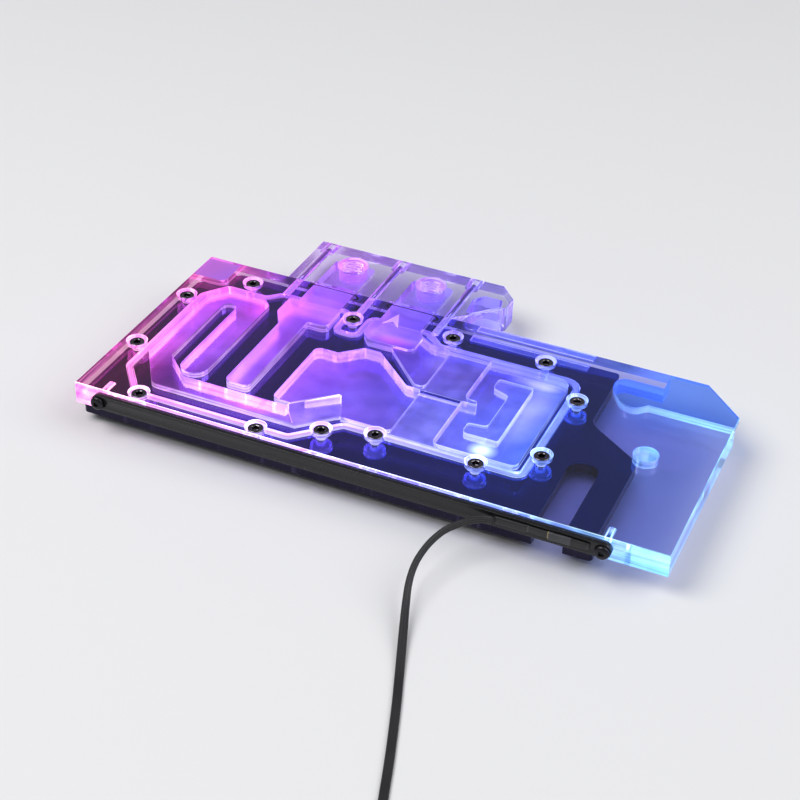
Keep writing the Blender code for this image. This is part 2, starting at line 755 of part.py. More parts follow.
def make_base_plate():
    plan = outline((
        (base_left, base_front, base_corner), (base_slot_x - base_slot_radius, base_front),
        (base_slot_x - base_slot_radius, base_slot_end + base_slot_radius, base_slot_radius - 0.00001),
        (base_slot_x + base_slot_radius, base_slot_end + base_slot_radius, base_slot_radius - 0.00001),
        (base_slot_x + base_slot_radius, base_front), (base_right, base_front, base_corner),
        (base_right, base_step_front, 0.004), (base_step_x, base_step_y, 0.008), (base_step_x, base_back, base_corner),
        (base_corner_x, base_back, base_corner), (base_left, base_corner_y, base_corner)))
    base = place("base_plate", prism_mesh("base_plate", plan, base_low, base_top), nickel)
    die = outline(((die_x - die_size / 2, die_y - die_size / 2, 0.002), (die_x + die_size / 2, die_y - die_size / 2, 0.002),
                   (die_x + die_size / 2, die_y + die_size / 2, 0.002), (die_x - die_size / 2, die_y + die_size / 2, 0.002)))
    raised = [prism_mesh("die", die, base_low - die_height, base_low + 0.001)]
    for x, y, width, depth in pads:
        raised.append(prism_mesh("pad", box_outline(x - width / 2, x + width / 2, y - depth / 2, y + depth / 2),
                                 base_low - pad_height, base_low + 0.001))
    for x, y in standoff_places:
        post = revolve_mesh("post", [
            (0, 0.003), (standoff_bore, 0.003), (standoff_bore, 0), (standoff_radius - 0.0004, 0),
            (standoff_radius, 0.0004), (standoff_radius, base_low + 0.001), (0, base_low + 0.001)], 12)
        for corner in post.vertices:
            corner.co.x += x
            corner.co.y += y
        raised.append(post)
    work(base, join_meshes("raised", raised), "UNION")
    slots = []
    for front, back in ((middle_front, rib_y - rib_thickness / 2), (rib_y + rib_thickness / 2, chambers_back)):
        count = int((back - front - 2 * fin_margin) / fin_pitch)
        first = (front + back - (count - 1) * fin_pitch) / 2
        for k in range(count):
            y = first + k * fin_pitch
            slots.append(prism_mesh("slot", box_outline(fin_low, fin_high, y - fin_slot / 2, y + fin_slot / 2),
                                    base_top - fin_depth, base_top + 0.001))
    work(base, join_meshes("fin_slots", slots))
    taps = [prism_mesh("tap", circle(x, y, screw_hole_radius, 10), base_low - 0.001, base_top + 0.001)
            for x, y in cover_screw_places]
    work(base, join_meshes("tapped_holes", taps))
    return base


def make_cover_screws():
    seat = cover_top - counterbore_depth + seat_gap
    shared = screw_mesh("cover_screw", screw_head_radius, screw_head_height, screw_shank_radius, screw_length,
                        screw_socket, screw_socket_depth, 12)
    for number, (x, y) in enumerate(cover_screw_places, 1):
        made = place("cover_screw_%d" % number, shared)
        made.location = (x, y, seat)
        if not shared.materials:
            shared.materials.append(steel)
        smooth(made)


def make_block_screws():
    seat = block_back - block_bore_depth + seat_gap
    shared = screw_mesh("block_screw", block_screw_head_radius, block_screw_head_height, block_screw_shank_radius,
                        block_screw_length, block_screw_socket, 0.0015, 12)
    shared.materials.append(steel)
    for number, x in enumerate(block_screw_places, 1):
        made = place("port_block_screw_%d" % number, shared)
        made.location = (x, seat, cover_top - block_screw_depth)
        made.rotation_euler = (math.radians(-90), 0, 0)
        smooth(made)


def make_light_bar():
    """Black bar with rounded ends, a slot for the light strip and two screw holes."""
    middle = bar_middle
    half = (bar_high - bar_low) / 2
    ends = bar_end
    front_view = outline(((bar_left - ends, middle - half, half - 0.0001), (bar_right + ends, middle - half, half - 0.0001),
                          (bar_right + ends, middle + half, half - 0.0001), (bar_left - ends, middle + half, half - 0.0001)))
    mesh = prism_mesh("light_bar", front_view, 0, bar_depth)
    for corner in mesh.vertices:
        corner.co = (corner.co.x, bar_back - corner.co.z, corner.co.y)
    bar = place("light_bar", mesh, bar_paint)
    slot = box_outline(bar_left + strip_margin - 0.001, bar_right - strip_margin + 0.001,
                       bar_back - bar_slot_depth, bar_back + 0.001)
    work(bar, prism_mesh("strip_slot", slot, middle - bar_slot_height / 2, middle + bar_slot_height / 2))
    drills = []
    for x in (bar_left, bar_right):
        drill = revolve_mesh("drill", [(0, 0), (bar_screw_radius + thread_gap, 0),
                                       (bar_screw_radius + thread_gap, bar_depth + 0.002), (0, bar_depth + 0.002)], 12)
        drills.append(turned_to_back(drill, x, bar_front - 0.001, middle))
    work(bar, join_meshes("bar_holes", drills))
    shared = screw_mesh("button_screw", button_radius, button_height, bar_screw_radius, bar_screw_length,
                        button_socket, 0.0009, 14, crown=0.0010)
    shared.materials.append(steel)
    for name, x in (("light_bar_screw_left", bar_left), ("light_bar_screw_right", bar_right)):
        made = place(name, shared)
        made.location = (x, bar_front - seat_gap, middle)
        made.rotation_euler = (math.radians(90), 0, 0)
        smooth(made)


def make_led_strip():
    """Flexible strip in the bar's slot, with a row of light packages that face the cover's edge."""
    middle = bar_middle
    left = bar_left + strip_margin
    right = bar_right - strip_margin
    back = bar_back - bar_slot_depth + seat_gap
    face = back + strip_thickness
    mesh = prism_mesh("led_strip", box_outline(left, right, back, face),
                      middle - strip_height / 2, middle + strip_height / 2)
    strip = place("led_strip", mesh, strip_white)
    count = int((right - left - led_width) / led_pitch) + 1
    first = (left + right - (count - 1) * led_pitch) / 2
    packages = [prism_mesh("package", box_outline(first + k * led_pitch - led_width / 2, first + k * led_pitch + led_width / 2,
                                                  face - 0.0002, face + led_depth),
                           middle - led_height / 2, middle + led_height / 2) for k in range(count)]
    work(strip, join_meshes("led_packages", packages), "UNION")


def make_lead_joint():
    """Sleeve on the bar's front face that covers the joint of strip and lead."""
    plan = outline(((joint_left, joint_back - joint_depth, 0.0008), (joint_right, joint_back - joint_depth, 0.0008),
                    (joint_right, joint_back, 0.0002), (joint_left, joint_back, 0.0002)))
    high = cover_top - joint_drop
    place("lead_joint", prism_mesh("lead_joint", plan, high - joint_height, high), lead_black)


joint_back = bar_front - seat_gap

# where the lead leaves its joint, and its route from there, chosen by hand: along the bar, down to the
# surface and away; x and y from the exit, z from the surface
lead_exit_x = joint_left - seat_gap
lead_exit_y = joint_back - lead_width / 2
lead_route = (
    (0.0000, 0.0000, 0.0156), (-0.0039, -0.0009, 0.0154), (-0.0083, -0.0034, 0.0148), (-0.0136, -0.0095, 0.0140),
    (-0.0164, -0.0153, 0.0130), (-0.0181, -0.0220, 0.0116), (-0.0186, -0.0297, 0.0098), (-0.0174, -0.0378, 0.0078),
    (-0.0148, -0.0463, 0.0058), (-0.0115, -0.0556, 0.0040), (-0.0075, -0.0665, 0.0026), (-0.0034, -0.0777, 0.0019),
    (0.0021, -0.0928, 0.0018), (0.0092, -0.1136, 0.0018), (0.0139, -0.1284, 0.0018), (0.0183, -0.1424, 0.0018))
coil_x = lead_exit_x + 0.0429
coil_y = lead_exit_y - 0.1500


def spline_points(route, count):
    """Evenly numbered points on a smooth curve through the route's points (Catmull-Rom)."""
    knots = [Vector(p) for p in route]
    knots = [2 * knots[0] - knots[1]] + knots + [2 * knots[-1] - knots[-2]]
    spans = len(route) - 1
    points = []
    for k in range(count):
        place_on = spans * k / (count - 1)
        i = min(int(place_on), spans - 1)
        t = place_on - i
        a, b, c, d = knots[i:i + 4]
        points.append(0.5 * (2 * b + (c - a) * t + (2 * a - 5 * b + 4 * c - d) * t ** 2
                             + (3 * b - a - 3 * c + d) * t ** 3))
    return points


def make_lead():
    points = spline_points([(lead_exit_x + x, lead_exit_y + y, z) for x, y, z in lead_route], lead_points)
    curve = bpy.data.curves.new("led_lead", "CURVE")
    curve.dimensions = "3D"
    line = curve.splines.new("POLY")
    line.points.add(len(points) - 1)
    for spot, point in zip(line.points, points):
        spot.co = (*point, 1)
    curve.bevel_depth = lead_width / 2
    curve.bevel_resolution = lead_sides
    curve.use_fill_caps = True
    curve.materials.append(lead_black)
    tube = bpy.data.objects.new("led_lead", curve)
    bpy.context.scene.collection.objects.link(tube)
    tube.parent = frame
    inner = coil_radius - coil_half_width
    outer = coil_radius + coil_half_width
    high = coil_low + coil_height
    section = ((inner, coil_low), (outer, coil_low), (outer, high), (inner, high))
    shape = bmesh.new()
    rings = [[shape.verts.new((coil_x + radius * math.cos(math.tau * k / coil_sides),
                               coil_y + radius * math.sin(math.tau * k / coil_sides), z)) for k in range(coil_sides)]
             for radius, z in section]
    for a in range(4):
        for k in range(coil_sides):
            n = (k + 1) % coil_sides
            shape.faces.new((rings[a][k], rings[a][n], rings[(a + 1) % 4][n], rings[(a + 1) % 4][k]))
    bmesh.ops.recalc_face_normals(shape, faces=shape.faces)
    mesh = bpy.data.meshes.new("led_lead_coil")
    shape.to_mesh(mesh)
    shape.free()
    smooth(place("led_lead_coil", mesh, lead_black))
    along = Vector((-math.sin(coil_exit_turn), math.cos(coil_exit_turn)))
    across = Vector((math.cos(coil_exit_turn), math.sin(coil_exit_turn)))
    foot = Vector((coil_x, coil_y)) + across * (coil_radius + lead_width / 2)
    corners = [foot + along * (plug_start + a * plug_length) + across * (b * plug_width / 2)
               for a, b in ((0, -1), (0, 1), (1, 1), (1, -1))]
    place("led_plug", prism_mesh("led_plug", corners, coil_low, coil_low + plug_height), lead_black)


make_top_cover()
make_port_block()
make_seals()
make_base_plate()
make_cover_screws()
make_block_screws()
make_light_bar()
make_led_strip()
make_lead_joint()
make_lead()
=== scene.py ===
import math
import bmesh
import bpy
import numpy as np
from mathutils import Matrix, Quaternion, Vector


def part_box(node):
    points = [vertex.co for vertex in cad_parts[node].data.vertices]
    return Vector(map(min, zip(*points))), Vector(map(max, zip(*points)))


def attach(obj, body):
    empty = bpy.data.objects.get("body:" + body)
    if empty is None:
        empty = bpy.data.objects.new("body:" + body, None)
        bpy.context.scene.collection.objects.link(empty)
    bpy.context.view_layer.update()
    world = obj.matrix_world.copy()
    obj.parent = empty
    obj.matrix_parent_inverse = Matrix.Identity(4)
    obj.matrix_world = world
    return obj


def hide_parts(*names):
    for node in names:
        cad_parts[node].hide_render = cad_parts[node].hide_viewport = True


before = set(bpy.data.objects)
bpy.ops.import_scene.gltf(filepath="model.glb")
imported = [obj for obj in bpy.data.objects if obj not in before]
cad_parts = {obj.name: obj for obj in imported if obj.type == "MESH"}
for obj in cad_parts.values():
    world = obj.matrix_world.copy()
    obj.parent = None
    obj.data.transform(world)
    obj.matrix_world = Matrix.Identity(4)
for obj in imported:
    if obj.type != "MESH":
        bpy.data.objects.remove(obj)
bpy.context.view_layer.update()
coverLow, coverHigh = (np.array(corner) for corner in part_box("top_cover"))
blockLow, blockHigh = (np.array(corner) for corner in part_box("port_block"))
planCorner = np.array((coverLow[0], coverLow[1], 0.0))  # the cover's front left corner, at floor height
middleGap = (coverHigh[1] + blockLow[1]) / 2  # plane between cover and port block
past = 0.001  # how far a cutter reaches past the face that it opens
print("frame loaded")


# node helpers

def wire(tree, socket, value):
    if isinstance(value, bpy.types.NodeSocket):
        tree.links.new(value, socket)
    else:
        socket.default_value = value


def wires(tree, node, **sockets):
    # inputs given by name, with _ for a space, are linked to a socket or set to a value
    for name, value in sockets.items():
        wire(tree, node.inputs[name.replace("_", " ")], value)


def nodeIn(tree, kind, **sockets):
    made = tree.nodes.new(kind)
    wires(tree, made, **sockets)
    return made


def objectPlace(tree):
    return tree.nodes.new("ShaderNodeTexCoord").outputs["Object"]


def scaledPlace(tree, place, scale, shift=(0.0, 0.0, 0.0)):
    # place x scale + shift
    return nodeIn(tree, "ShaderNodeMapping", Vector=place, Scale=scale, Location=shift).outputs["Vector"]


def placeAlong(tree, axis):
    return nodeIn(tree, "ShaderNodeSeparateXYZ", Vector=objectPlace(tree)).outputs[axis]


def noiseIn(tree, scale, detail):
    # noise on Object coordinates; the scale can be one number for each axis
    place = objectPlace(tree)
    if isinstance(scale, tuple):
        place = scaledPlace(tree, place, scale)
        scale = 1.0
    return nodeIn(tree, "ShaderNodeTexNoise", Vector=place, Scale=scale, Detail=detail).outputs["Fac"]


def sums(tree, operation, *values):
    made = tree.nodes.new("ShaderNodeMath")
    made.operation = operation
    for socket, value in zip(made.inputs, values):
        wire(tree, socket, value)
    return made.outputs[0]


def times(tree, first, second):
    return sums(tree, "MULTIPLY", first, second)


def stretch(tree, value, fromLow, fromHigh, toLow=0.0, toHigh=1.0):
    # a value carried from one range to another and held at its ends
    made = nodeIn(tree, "ShaderNodeMapRange", Value=value, From_Min=fromLow, From_Max=fromHigh,
                  To_Min=toLow, To_Max=toHigh)
    return made.outputs["Result"]


def spread(tree, noise, low, high):
    # the usual span of a noise, 0.3 to 0.7, carried to a range
    return stretch(tree, noise, 0.3, 0.7, low, high)


def mixColours(tree, share, first, second, blend="MIX"):
    made = tree.nodes.new("ShaderNodeMix")
    made.data_type = "RGBA"
    made.blend_type = blend
    for number, value in ((0, share), (6, first), (7, second)):
        wire(tree, made.inputs[number], (*value, 1) if isinstance(value, tuple) else value)
    return made.outputs[2]


def rampIn(tree, share, stops, mode):
    # colours along a share from 0 to 1, from (position, colour) stops
    made = nodeIn(tree, "ShaderNodeValToRGB", Fac=share)
    made.color_ramp.interpolation = mode
    elements = made.color_ramp.elements
    for number in (0, -1):
        elements[number].position = stops[number][0]
        elements[number].color = (*stops[number][1], 1)
    for position, colour in stops[1:-1]:
        elements.new(position).color = (*colour, 1)
    return made.outputs["Color"]


def newGroup(name, inputs, outputs):
    # inputs are numbers with a start value, outputs are given with their socket type
    group = bpy.data.node_groups.new(name, "ShaderNodeTree")
    for label, value in inputs.items():
        socket = group.interface.new_socket(label, in_out="INPUT", socket_type="NodeSocketFloat")
        socket.default_value = value
    for label, kind in outputs.items():
        group.interface.new_socket(label, in_out="OUTPUT", socket_type=kind)
    return group, group.nodes.new("NodeGroupInput").outputs, group.nodes.new("NodeGroupOutput")


def placeGroup(tree, group, **sockets):
    made = tree.nodes.new("ShaderNodeGroup")
    made.node_tree = group
    wires(tree, made, **sockets)
    return made.outputs


def newMaterial(name, **sockets):
    made = bpy.data.materials.new(name)
    made.use_nodes = True
    shader = made.node_tree.nodes["Principled BSDF"]
    wires(made.node_tree, shader, **sockets)
    return made, made.node_tree, shader


def bumpFrom(tree, shader, height, distance):
    bump = nodeIn(tree, "ShaderNodeBump", Height=height, Distance=distance)
    wires(tree, shader, Normal=bump.outputs["Normal"])


# camera and studio

camera = dict(
    place=(0.22475, -0.56529, 0.42512),
    aim=(-0.0020, -0.02575, 0.0190),
    roll=math.radians(2.04),
    lens=77.94, sensor=36,  # millimetres
)
studio = dict(
    floorSize=6.0, floorColour=(0.80, 0.80, 0.81), floorRoughness=0.7, floorShine=0.2,
    worldColour=(0.93, 0.94, 1.0), worldLevel=0.24,
    # name, place, size, watts
    lamps=(("keyLamp", (-0.9, -0.7, 1.7), 1.5, 30), ("fillLamp", (1.3, 0.4, 1.3), 1.8, 17)),
)


def newObject(name, data):
    made = bpy.data.objects.new(name, data)
    bpy.context.scene.collection.objects.link(made)
    return made


def makeCamera():
    data = bpy.data.cameras.new("photoCamera")
    data.lens = camera["lens"]
    data.sensor_width = camera["sensor"]
    data.clip_start = 0.01
    made = newObject("photoCamera", data)
    made.location = camera["place"]
    look = Vector(camera["aim"]) - Vector(camera["place"])
    turn = look.to_track_quat("-Z", "Y") @ Quaternion((0, 0, 1), camera["roll"])
    made.rotation_euler = turn.to_euler()
    bpy.context.scene.camera = made


def makeLamp(name, place, size, watts):
    # a round area lamp that faces the middle of the floor
    data = bpy.data.lights.new(name, "AREA")
    data.shape = "DISK"
    data.size = size
    data.energy = watts
    made = newObject(name, data)
    made.location = place
    made.rotation_euler = (-Vector(place)).to_track_quat("-Z", "Y").to_euler()


def makeStudio():
    half = studio["floorSize"] / 2
    corners = [(-half, -half, 0), (half, -half, 0), (half, half, 0), (-half, half, 0)]
    mesh = bpy.data.meshes.new("floor")
    mesh.from_pydata(corners, [], [(0, 1, 2, 3)])
    paint = newMaterial("floorPaint", Base_Color=(*studio["floorColour"], 1),
                        Roughness=studio["floorRoughness"], Specular_IOR_Level=studio["floorShine"])
    mesh.materials.append(paint[0])
    newObject("floor", mesh)
    world = bpy.data.worlds.new("softWorld")
    world.use_nodes = True
    wires(world.node_tree, world.node_tree.nodes["Background"], Color=(*studio["worldColour"], 1),
          Strength=studio["worldLevel"])
    bpy.context.scene.world = world
    for lamp in studio["lamps"]:
        makeLamp(*lamp)
    bpy.context.scene.view_settings.view_transform = "Standard"


makeCamera()
makeStudio()
print("camera and studio")


# shared effects

ledColours = dict(
    stops=((0.00, (1.0, 0.10, 0.60)), (0.07, (0.80, 0.09, 0.85)), (0.16, (0.62, 0.10, 1.0)),
           (0.30, (0.46, 0.11, 1.0)), (0.42, (0.31, 0.11, 1.0)), (0.55, (0.20, 0.13, 1.0)),
           (0.68, (0.15, 0.18, 1.0)), (0.82, (0.07, 0.22, 1.0)), (1.00, (0.07, 0.42, 1.0))),
    patchScale=24.0, patchReach=0.07,  # patches push the hue this far along the stops
    streakScale=90.0, layerScale=(12.0, 12.0, 620.0),
    paleLeft=(1.0, 0.74, 1.0), paleRight=(0.50, 0.84, 1.0),
    paleAtBack=0.15, glowAtBack=0.62,  # share left at the cover's back edge
    poolEdge=(0.25, 1.25),  # a pool fades between these shares of its half size
    # pools of light in the chambers: x, y, half width, half depth, gain, colour and its share
    pools=((-0.1005, -0.0500, 0.0180, 0.0200, 0.18, (0.40, 0.05, 0.80), 0.3),
           (-0.0890, 0.0135, 0.0100, 0.0110, 1.50, (1.00, 0.13, 0.72), 0.8),
           (-0.0225, 0.0145, 0.0095, 0.0042, 1.45, (1.00, 0.16, 0.90), 0.8),
           (-0.0770, 0.0180, 0.0120, 0.0130, 1.45, (0.95, 0.17, 0.93), 0.6),
           (0.0405, -0.0405, 0.0055, 0.0050, 3.20, (0.70, 0.92, 1.00), 0.9),
           (0.0438, 0.0128, 0.0110, 0.0034, 2.20, (0.62, 0.62, 1.00), 0.8),
           (-0.0590, -0.0530, 0.0130, 0.0070, 1.70, (1.00, 0.22, 0.85), 0.8),
           (-0.0400, -0.0150, 0.0140, 0.0200, 1.45, (0.50, 0.17, 1.00), 0.7),
           (0.0485, -0.0060, 0.0085, 0.0240, 1.45, (0.62, 0.66, 1.00), 0.7),
           (0.0080, 0.0100, 0.0130, 0.0090, 1.35, (0.62, 0.52, 1.00), 0.6),
           (0.1080, 0.0175, 0.0300, 0.0060, 3.60, (0.30, 0.85, 1.00), 0.9)),
)


def ledLightGroup():
    # light of the bar in the acrylic. Colour: stops along X, moved by soft patches and paler near the bar.
    # Glow: the share left at this distance from the bar x (1 - streaks) x (1 - bands) x each pool's gain
    group, asked, made = newGroup(
        "ledLight", {"Pale": 0.2, "Streaks": 0.5, "Bands": 0.0, "Shift": 0.0, "Pools": 0.0},
        {"Colour": "NodeSocketColor", "Glow": "NodeSocketFloat"})
    spec = ledColours
    (left, front), (right, back) = ([float(side) for side in corner[:2]] for corner in (coverLow, coverHigh))
    fromFront = placeAlong(group, "Y")
    along = stretch(group, placeAlong(group, "X"), left, right)
    drift = spread(group, noiseIn(group, spec["patchScale"], 2.0), -spec["patchReach"], spec["patchReach"])
    moved = sums(group, "ADD", sums(group, "ADD", along, drift), asked["Shift"])
    hue = rampIn(group, moved, spec["stops"], "B_SPLINE")
    streaks = stretch(group, noiseIn(group, spec["streakScale"], 3.0), 0.35, 0.65)
    unbroken = sums(group, "SUBTRACT", 1.0, times(group, streaks, asked["Streaks"]))
    layers = stretch(group, noiseIn(group, spec["layerScale"], 2.0), 0.40, 0.56, 1.0, 0.0)
    kept = times(group, unbroken, sums(group, "SUBTRACT", 1.0, times(group, layers, asked["Bands"])))
    nearBar = stretch(group, fromFront, front, back, 1.0, spec["paleAtBack"])
    white = times(group, times(group, nearBar, asked["Pale"]), kept)
    colour = mixColours(group, white, hue, mixColours(group, along, spec["paleLeft"], spec["paleRight"]))
    glow = times(group, stretch(group, fromFront, front, back, 1.0, spec["glowAtBack"]), kept)
    place = objectPlace(group)
    for x, y, wide, deep, gain, tone, share in spec["pools"]:
        centred = scaledPlace(group, place, (1 / wide, 1 / deep, 0.0), (-x / wide, -y / deep, 0.0))
        away = nodeIn(group, "ShaderNodeVectorMath", Vector=centred)
        away.operation = "LENGTH"
        pool = stretch(group, away.outputs["Value"], *spec["poolEdge"], 1.0, 0.0)
        inside = times(group, pool, asked["Pools"])
        colour = mixColours(group, times(group, inside, share), colour, tone)
        glow = times(group, glow, sums(group, "MULTIPLY_ADD", inside, gain - 1, 1.0))
    wires(group, made, Colour=colour, Glow=glow)
    return group


def fineGrainGroup():
    # height of a fine grain: high-frequency noise
    group, asked, made = newGroup("fineGrain", {"Scale": 2500.0}, {"Height": "NodeSocketFloat"})
    wires(group, made, Height=noiseIn(group, asked["Scale"], 3.0))
    return group


ledLight = ledLightGroup()
fineGrain = fineGrainGroup()


def grainOn(tree, shader, scale, height):
    bumpFrom(tree, shader, placeGroup(tree, fineGrain, Scale=scale)["Height"], height)


# acrylic

acrylicBase = dict(
    index=1.49, clear=(0.97, 0.96, 1.0),
    cloudGain=(0.60, 1.45),
    dimFade=0.006, dimLevel=0.1,
    grainScale=900.0, ribHeight=0.00025,
)
# in each look, the share after the roughness is painted light: how much of the LED light's colour goes into
# the clear body
looks = {
    "clearFace": dict(rough=0.0, lightTint=0.50),
    "litEdge": dict(rough=0.10, lightTint=0.50, glow=0.68, pale=0.46, streaks=0.35, bands=0.80),
    "satinRoof": dict(rough=0.13, lightTint=0.40, glow=0.78, pale=0.24, streaks=0.20, pools=1.0, cloud=34.0,
                      grain=0.00004),
    "milledWall": dict(rough=0.07, lightTint=0.25, glow=1.20, pale=1.00, bands=0.60, pools=0.4),
    "frontWall": dict(rough=0.07, lightTint=0.20, glow=1.45, pale=1.10, streaks=0.20, bands=0.50, pools=0.4),
    "lowRoof": dict(rough=0.16, lightTint=0.40, glow=0.85, pale=0.45, streaks=0.25, cloud=60.0, grain=0.00004),
    "tappedWall": dict(rough=0.10, lightTint=0.12, glow=0.95, pale=0.95, streaks=0.10, ribs=640.0),
    "pocketRoof": dict(rough=0.10, lightTint=0.94, glow=0.16, shift=0.20, cloud=34.0, grain=0.00003),
    "portRoof": dict(rough=0.30, lightTint=0.55, glow=0.66, pale=0.25, streaks=0.15, pools=1.0, cloud=50.0,
                     grain=0.00005),
    "engraved": dict(rough=0.40, lightTint=0.20, glow=1.15, pale=1.00, streaks=0.05, grain=0.00008),
    "backFace": dict(rough=0.02, lightTint=0.50, glow=0.95, pale=1.60,
                     dimBetween=(float(blockLow[0]), float(blockHigh[0]) - 0.014)),
    "chamfer": dict(rough=0.10, lightTint=0.30, glow=1.30, pale=0.90),
    "blockFace": dict(rough=0.0, lightTint=0.24),
    "blockEdge": dict(rough=0.05, lightTint=0.55, glow=0.36, pale=0.70, streaks=0.35, bands=0.60),
    "blockRoof": dict(rough=0.08, lightTint=0.45, glow=0.14, pale=0.10, streaks=0.40, grain=0.00002),
    "blockWall": dict(rough=0.04, lightTint=0.40, glow=0.50, pale=1.00, streaks=0.35),
    "threadWall": dict(rough=0.02, lightTint=0.35, glow=0.40, pale=1.00),
}


def acrylic(name, rough, lightTint, glow=0.0, pale=0.0, streaks=0.3, bands=0.0, shift=0.0, pools=0.0,
            cloud=0.0, grain=0.0, ribs=0.0, dimBetween=()):
    # edge-lit acrylic, clear or satin. Body: the clear colour mixed with the light's colour squared, which
    # paints the LED light into the body colour.
    # Emission: the light's colour x its glow x the face's glow, clouded where asked
    made, tree, shader = newMaterial(name, IOR=acrylicBase["index"], Transmission_Weight=1.0, Roughness=rough)
    lit = placeGroup(tree, ledLight, Pale=pale, Streaks=streaks, Bands=bands, Shift=shift, Pools=pools)
    deep = mixColours(tree, 1.0, lit["Colour"], lit["Colour"], "MULTIPLY")
    # painted light: the clear body takes on the LED light's colour
    wires(tree, shader, Base_Color=mixColours(tree, lightTint, acrylicBase["clear"], deep))
    if glow:
        strength = times(tree, lit["Glow"], glow)
        if cloud:
            gain = stretch(tree, noiseIn(tree, cloud, 2.5), 0.32, 0.70, *acrylicBase["cloudGain"])
            strength = times(tree, strength, gain)
        if dimBetween:
            # the light is weaker where the port block joins
            low, high = dimBetween
            x = placeAlong(tree, "X")
            fade, least = acrylicBase["dimFade"], acrylicBase["dimLevel"]
            sides = (stretch(tree, x, low, low - fade), stretch(tree, x, high, high + fade))
            beside = sums(tree, "MAXIMUM", *sides)
            strength = times(tree, strength, sums(tree, "MULTIPLY_ADD", beside, 1 - least, least))
        shine = mixColours(tree, 1.0, lit["Colour"], strength, "MULTIPLY")
        wires(tree, shader, Emission_Color=shine, Emission_Strength=1.0)
    if grain:
        grainOn(tree, shader, acrylicBase["grainScale"], grain)
    if ribs:
        # turns of a tapped thread, one after another along Y
        wave = nodeIn(tree, "ShaderNodeTexWave", Vector=objectPlace(tree), Scale=ribs)
        wave.bands_direction = "Y"
        bumpFrom(tree, shader, wave.outputs["Fac"], acrylicBase["ribHeight"])
    return made


acrylics = {name: acrylic(name, **look) for name, look in looks.items()}
print("acrylic materials")


# metals, plastics and rubbers

skinKinds = dict(
    metal=dict(metallic=1.0, cloud=(55.0, 5.0), gain=1.35, lift=0.0),
    plastic=dict(metallic=0.0, cloud=(60.0, 4.0), gain=1.7, lift=0.004),
    rubber=dict(metallic=0.0, cloud=(240.0, 4.0), gain=1.5, lift=0.01),
)


def skin(name, kind, colour, sheen, grain, glow=0.0):
    # shade and roughness drift with a cloudy noise, over a fine grain of (scale, height);
    # the paler shade is colour x gain + lift
    spec = skinKinds[kind]
    made, tree, shader = newMaterial(name, Metallic=spec["metallic"])
    cloud = noiseIn(tree, *spec["cloud"])
    paler = tuple(min(1, part * spec["gain"] + spec["lift"]) for part in colour)
    wires(tree, shader, Base_Color=mixColours(tree, cloud, colour, paler),
          Roughness=spread(tree, cloud, *sheen))
    # glow is painted light: the LED light's colour as emission on an opaque part
    if glow:
        lit = placeGroup(tree, ledLight, Pale=0.35, Streaks=0.3)
        wires(tree, shader, Emission_Color=lit["Colour"], Emission_Strength=glow)
    grainOn(tree, shader, *grain)
    return made


screwNickel = skin("screwNickel", "metal", (0.130, 0.122, 0.140), (0.098, 0.196), (3000.0, 0.000003))
# block screws: steel, paler than the nickel; its lilac cast is painted light, the LED colour that the shanks
# reflect
lilacLitSteel = skin("lilacLitSteel", "metal", (0.40, 0.38, 0.44), (0.14, 0.28), (3000.0, 0.000003))
screwBlack = skin("screwBlack", "metal", (0.030, 0.030, 0.034), (0.21, 0.42), (3000.0, 0.000006))
leadSkin = skin("leadSkin", "plastic", (0.012, 0.012, 0.013), (0.32, 0.46), (1400.0, 0.00003))
plugBlack = skin("plugBlack", "plastic", (0.014, 0.014, 0.015), (0.28, 0.42), (1300.0, 0.00003))
collarBlack = skin("collarBlack", "plastic", (0.018, 0.018, 0.020), (0.44, 0.58), (900.0, 0.00002))
strapWeave = skin("strapWeave", "plastic", (0.020, 0.020, 0.024), (0.79, 0.93), (2600.0, 0.00008))
# the pale cover seal glows a little: painted LED light
sealPale = skin("sealPale", "rubber", (0.42, 0.38, 0.50), (0.34, 0.52), (2200.0, 0.000012), 0.16)
sealBlack = skin("sealBlack", "rubber", (0.010, 0.010, 0.011), (0.42, 0.60), (2200.0, 0.000012))
stripBoard = skin("stripBoard", "rubber", (0.70, 0.71, 0.75), (0.32, 0.50), (2200.0, 0.000012))

nickel = dict(
    dark=(0.020, 0.018, 0.034), light=(0.034, 0.030, 0.056), scratch=(0.09, 0.08, 0.14), scratchShare=0.8,
    brushScale=(420.0, 9.0, 9.0), cloudScale=30.0, sheen=(0.01, 0.045),
    hueShare=0.32, hueShift=0.14, hueFrom=0.0010, hueFull=0.0002,  # the last two are depths below its top
)


def brushedMirror():
    # dark nickel, polished, with faint brushing along Y; its top takes the hue of the light above it
    made, tree, shader = newMaterial("baseNickel", Metallic=1.0)
    top = float(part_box("base_plate")[1][2])
    lines = noiseIn(tree, nickel["brushScale"], 3.0)
    base = mixColours(tree, noiseIn(tree, nickel["cloudScale"], 3.0), nickel["dark"], nickel["light"])
    scratches = stretch(tree, lines, 0.60, 0.80, 0.0, nickel["scratchShare"])
    brushed = mixColours(tree, scratches, base, nickel["scratch"])
    hue = placeGroup(tree, ledLight, Pale=0.0, Streaks=0.0, Shift=nickel["hueShift"])["Colour"]
    onTop = stretch(tree, placeAlong(tree, "Z"), top - nickel["hueFrom"], top - nickel["hueFull"],
                    0.0, nickel["hueShare"])
    wires(tree, shader, Base_Color=mixColours(tree, onTop, brushed, hue),
          Roughness=stretch(tree, lines, 0.3, 0.8, *nickel["sheen"]))
    return made


baseNickel = brushedMirror()
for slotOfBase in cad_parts["base_plate"].material_slots:
    slotOfBase.material = baseNickel
print("metals, plastics and rubbers")


# mesh helpers

def unit(vectors):
    return vectors / np.linalg.norm(vectors, axis=-1, keepdims=True)


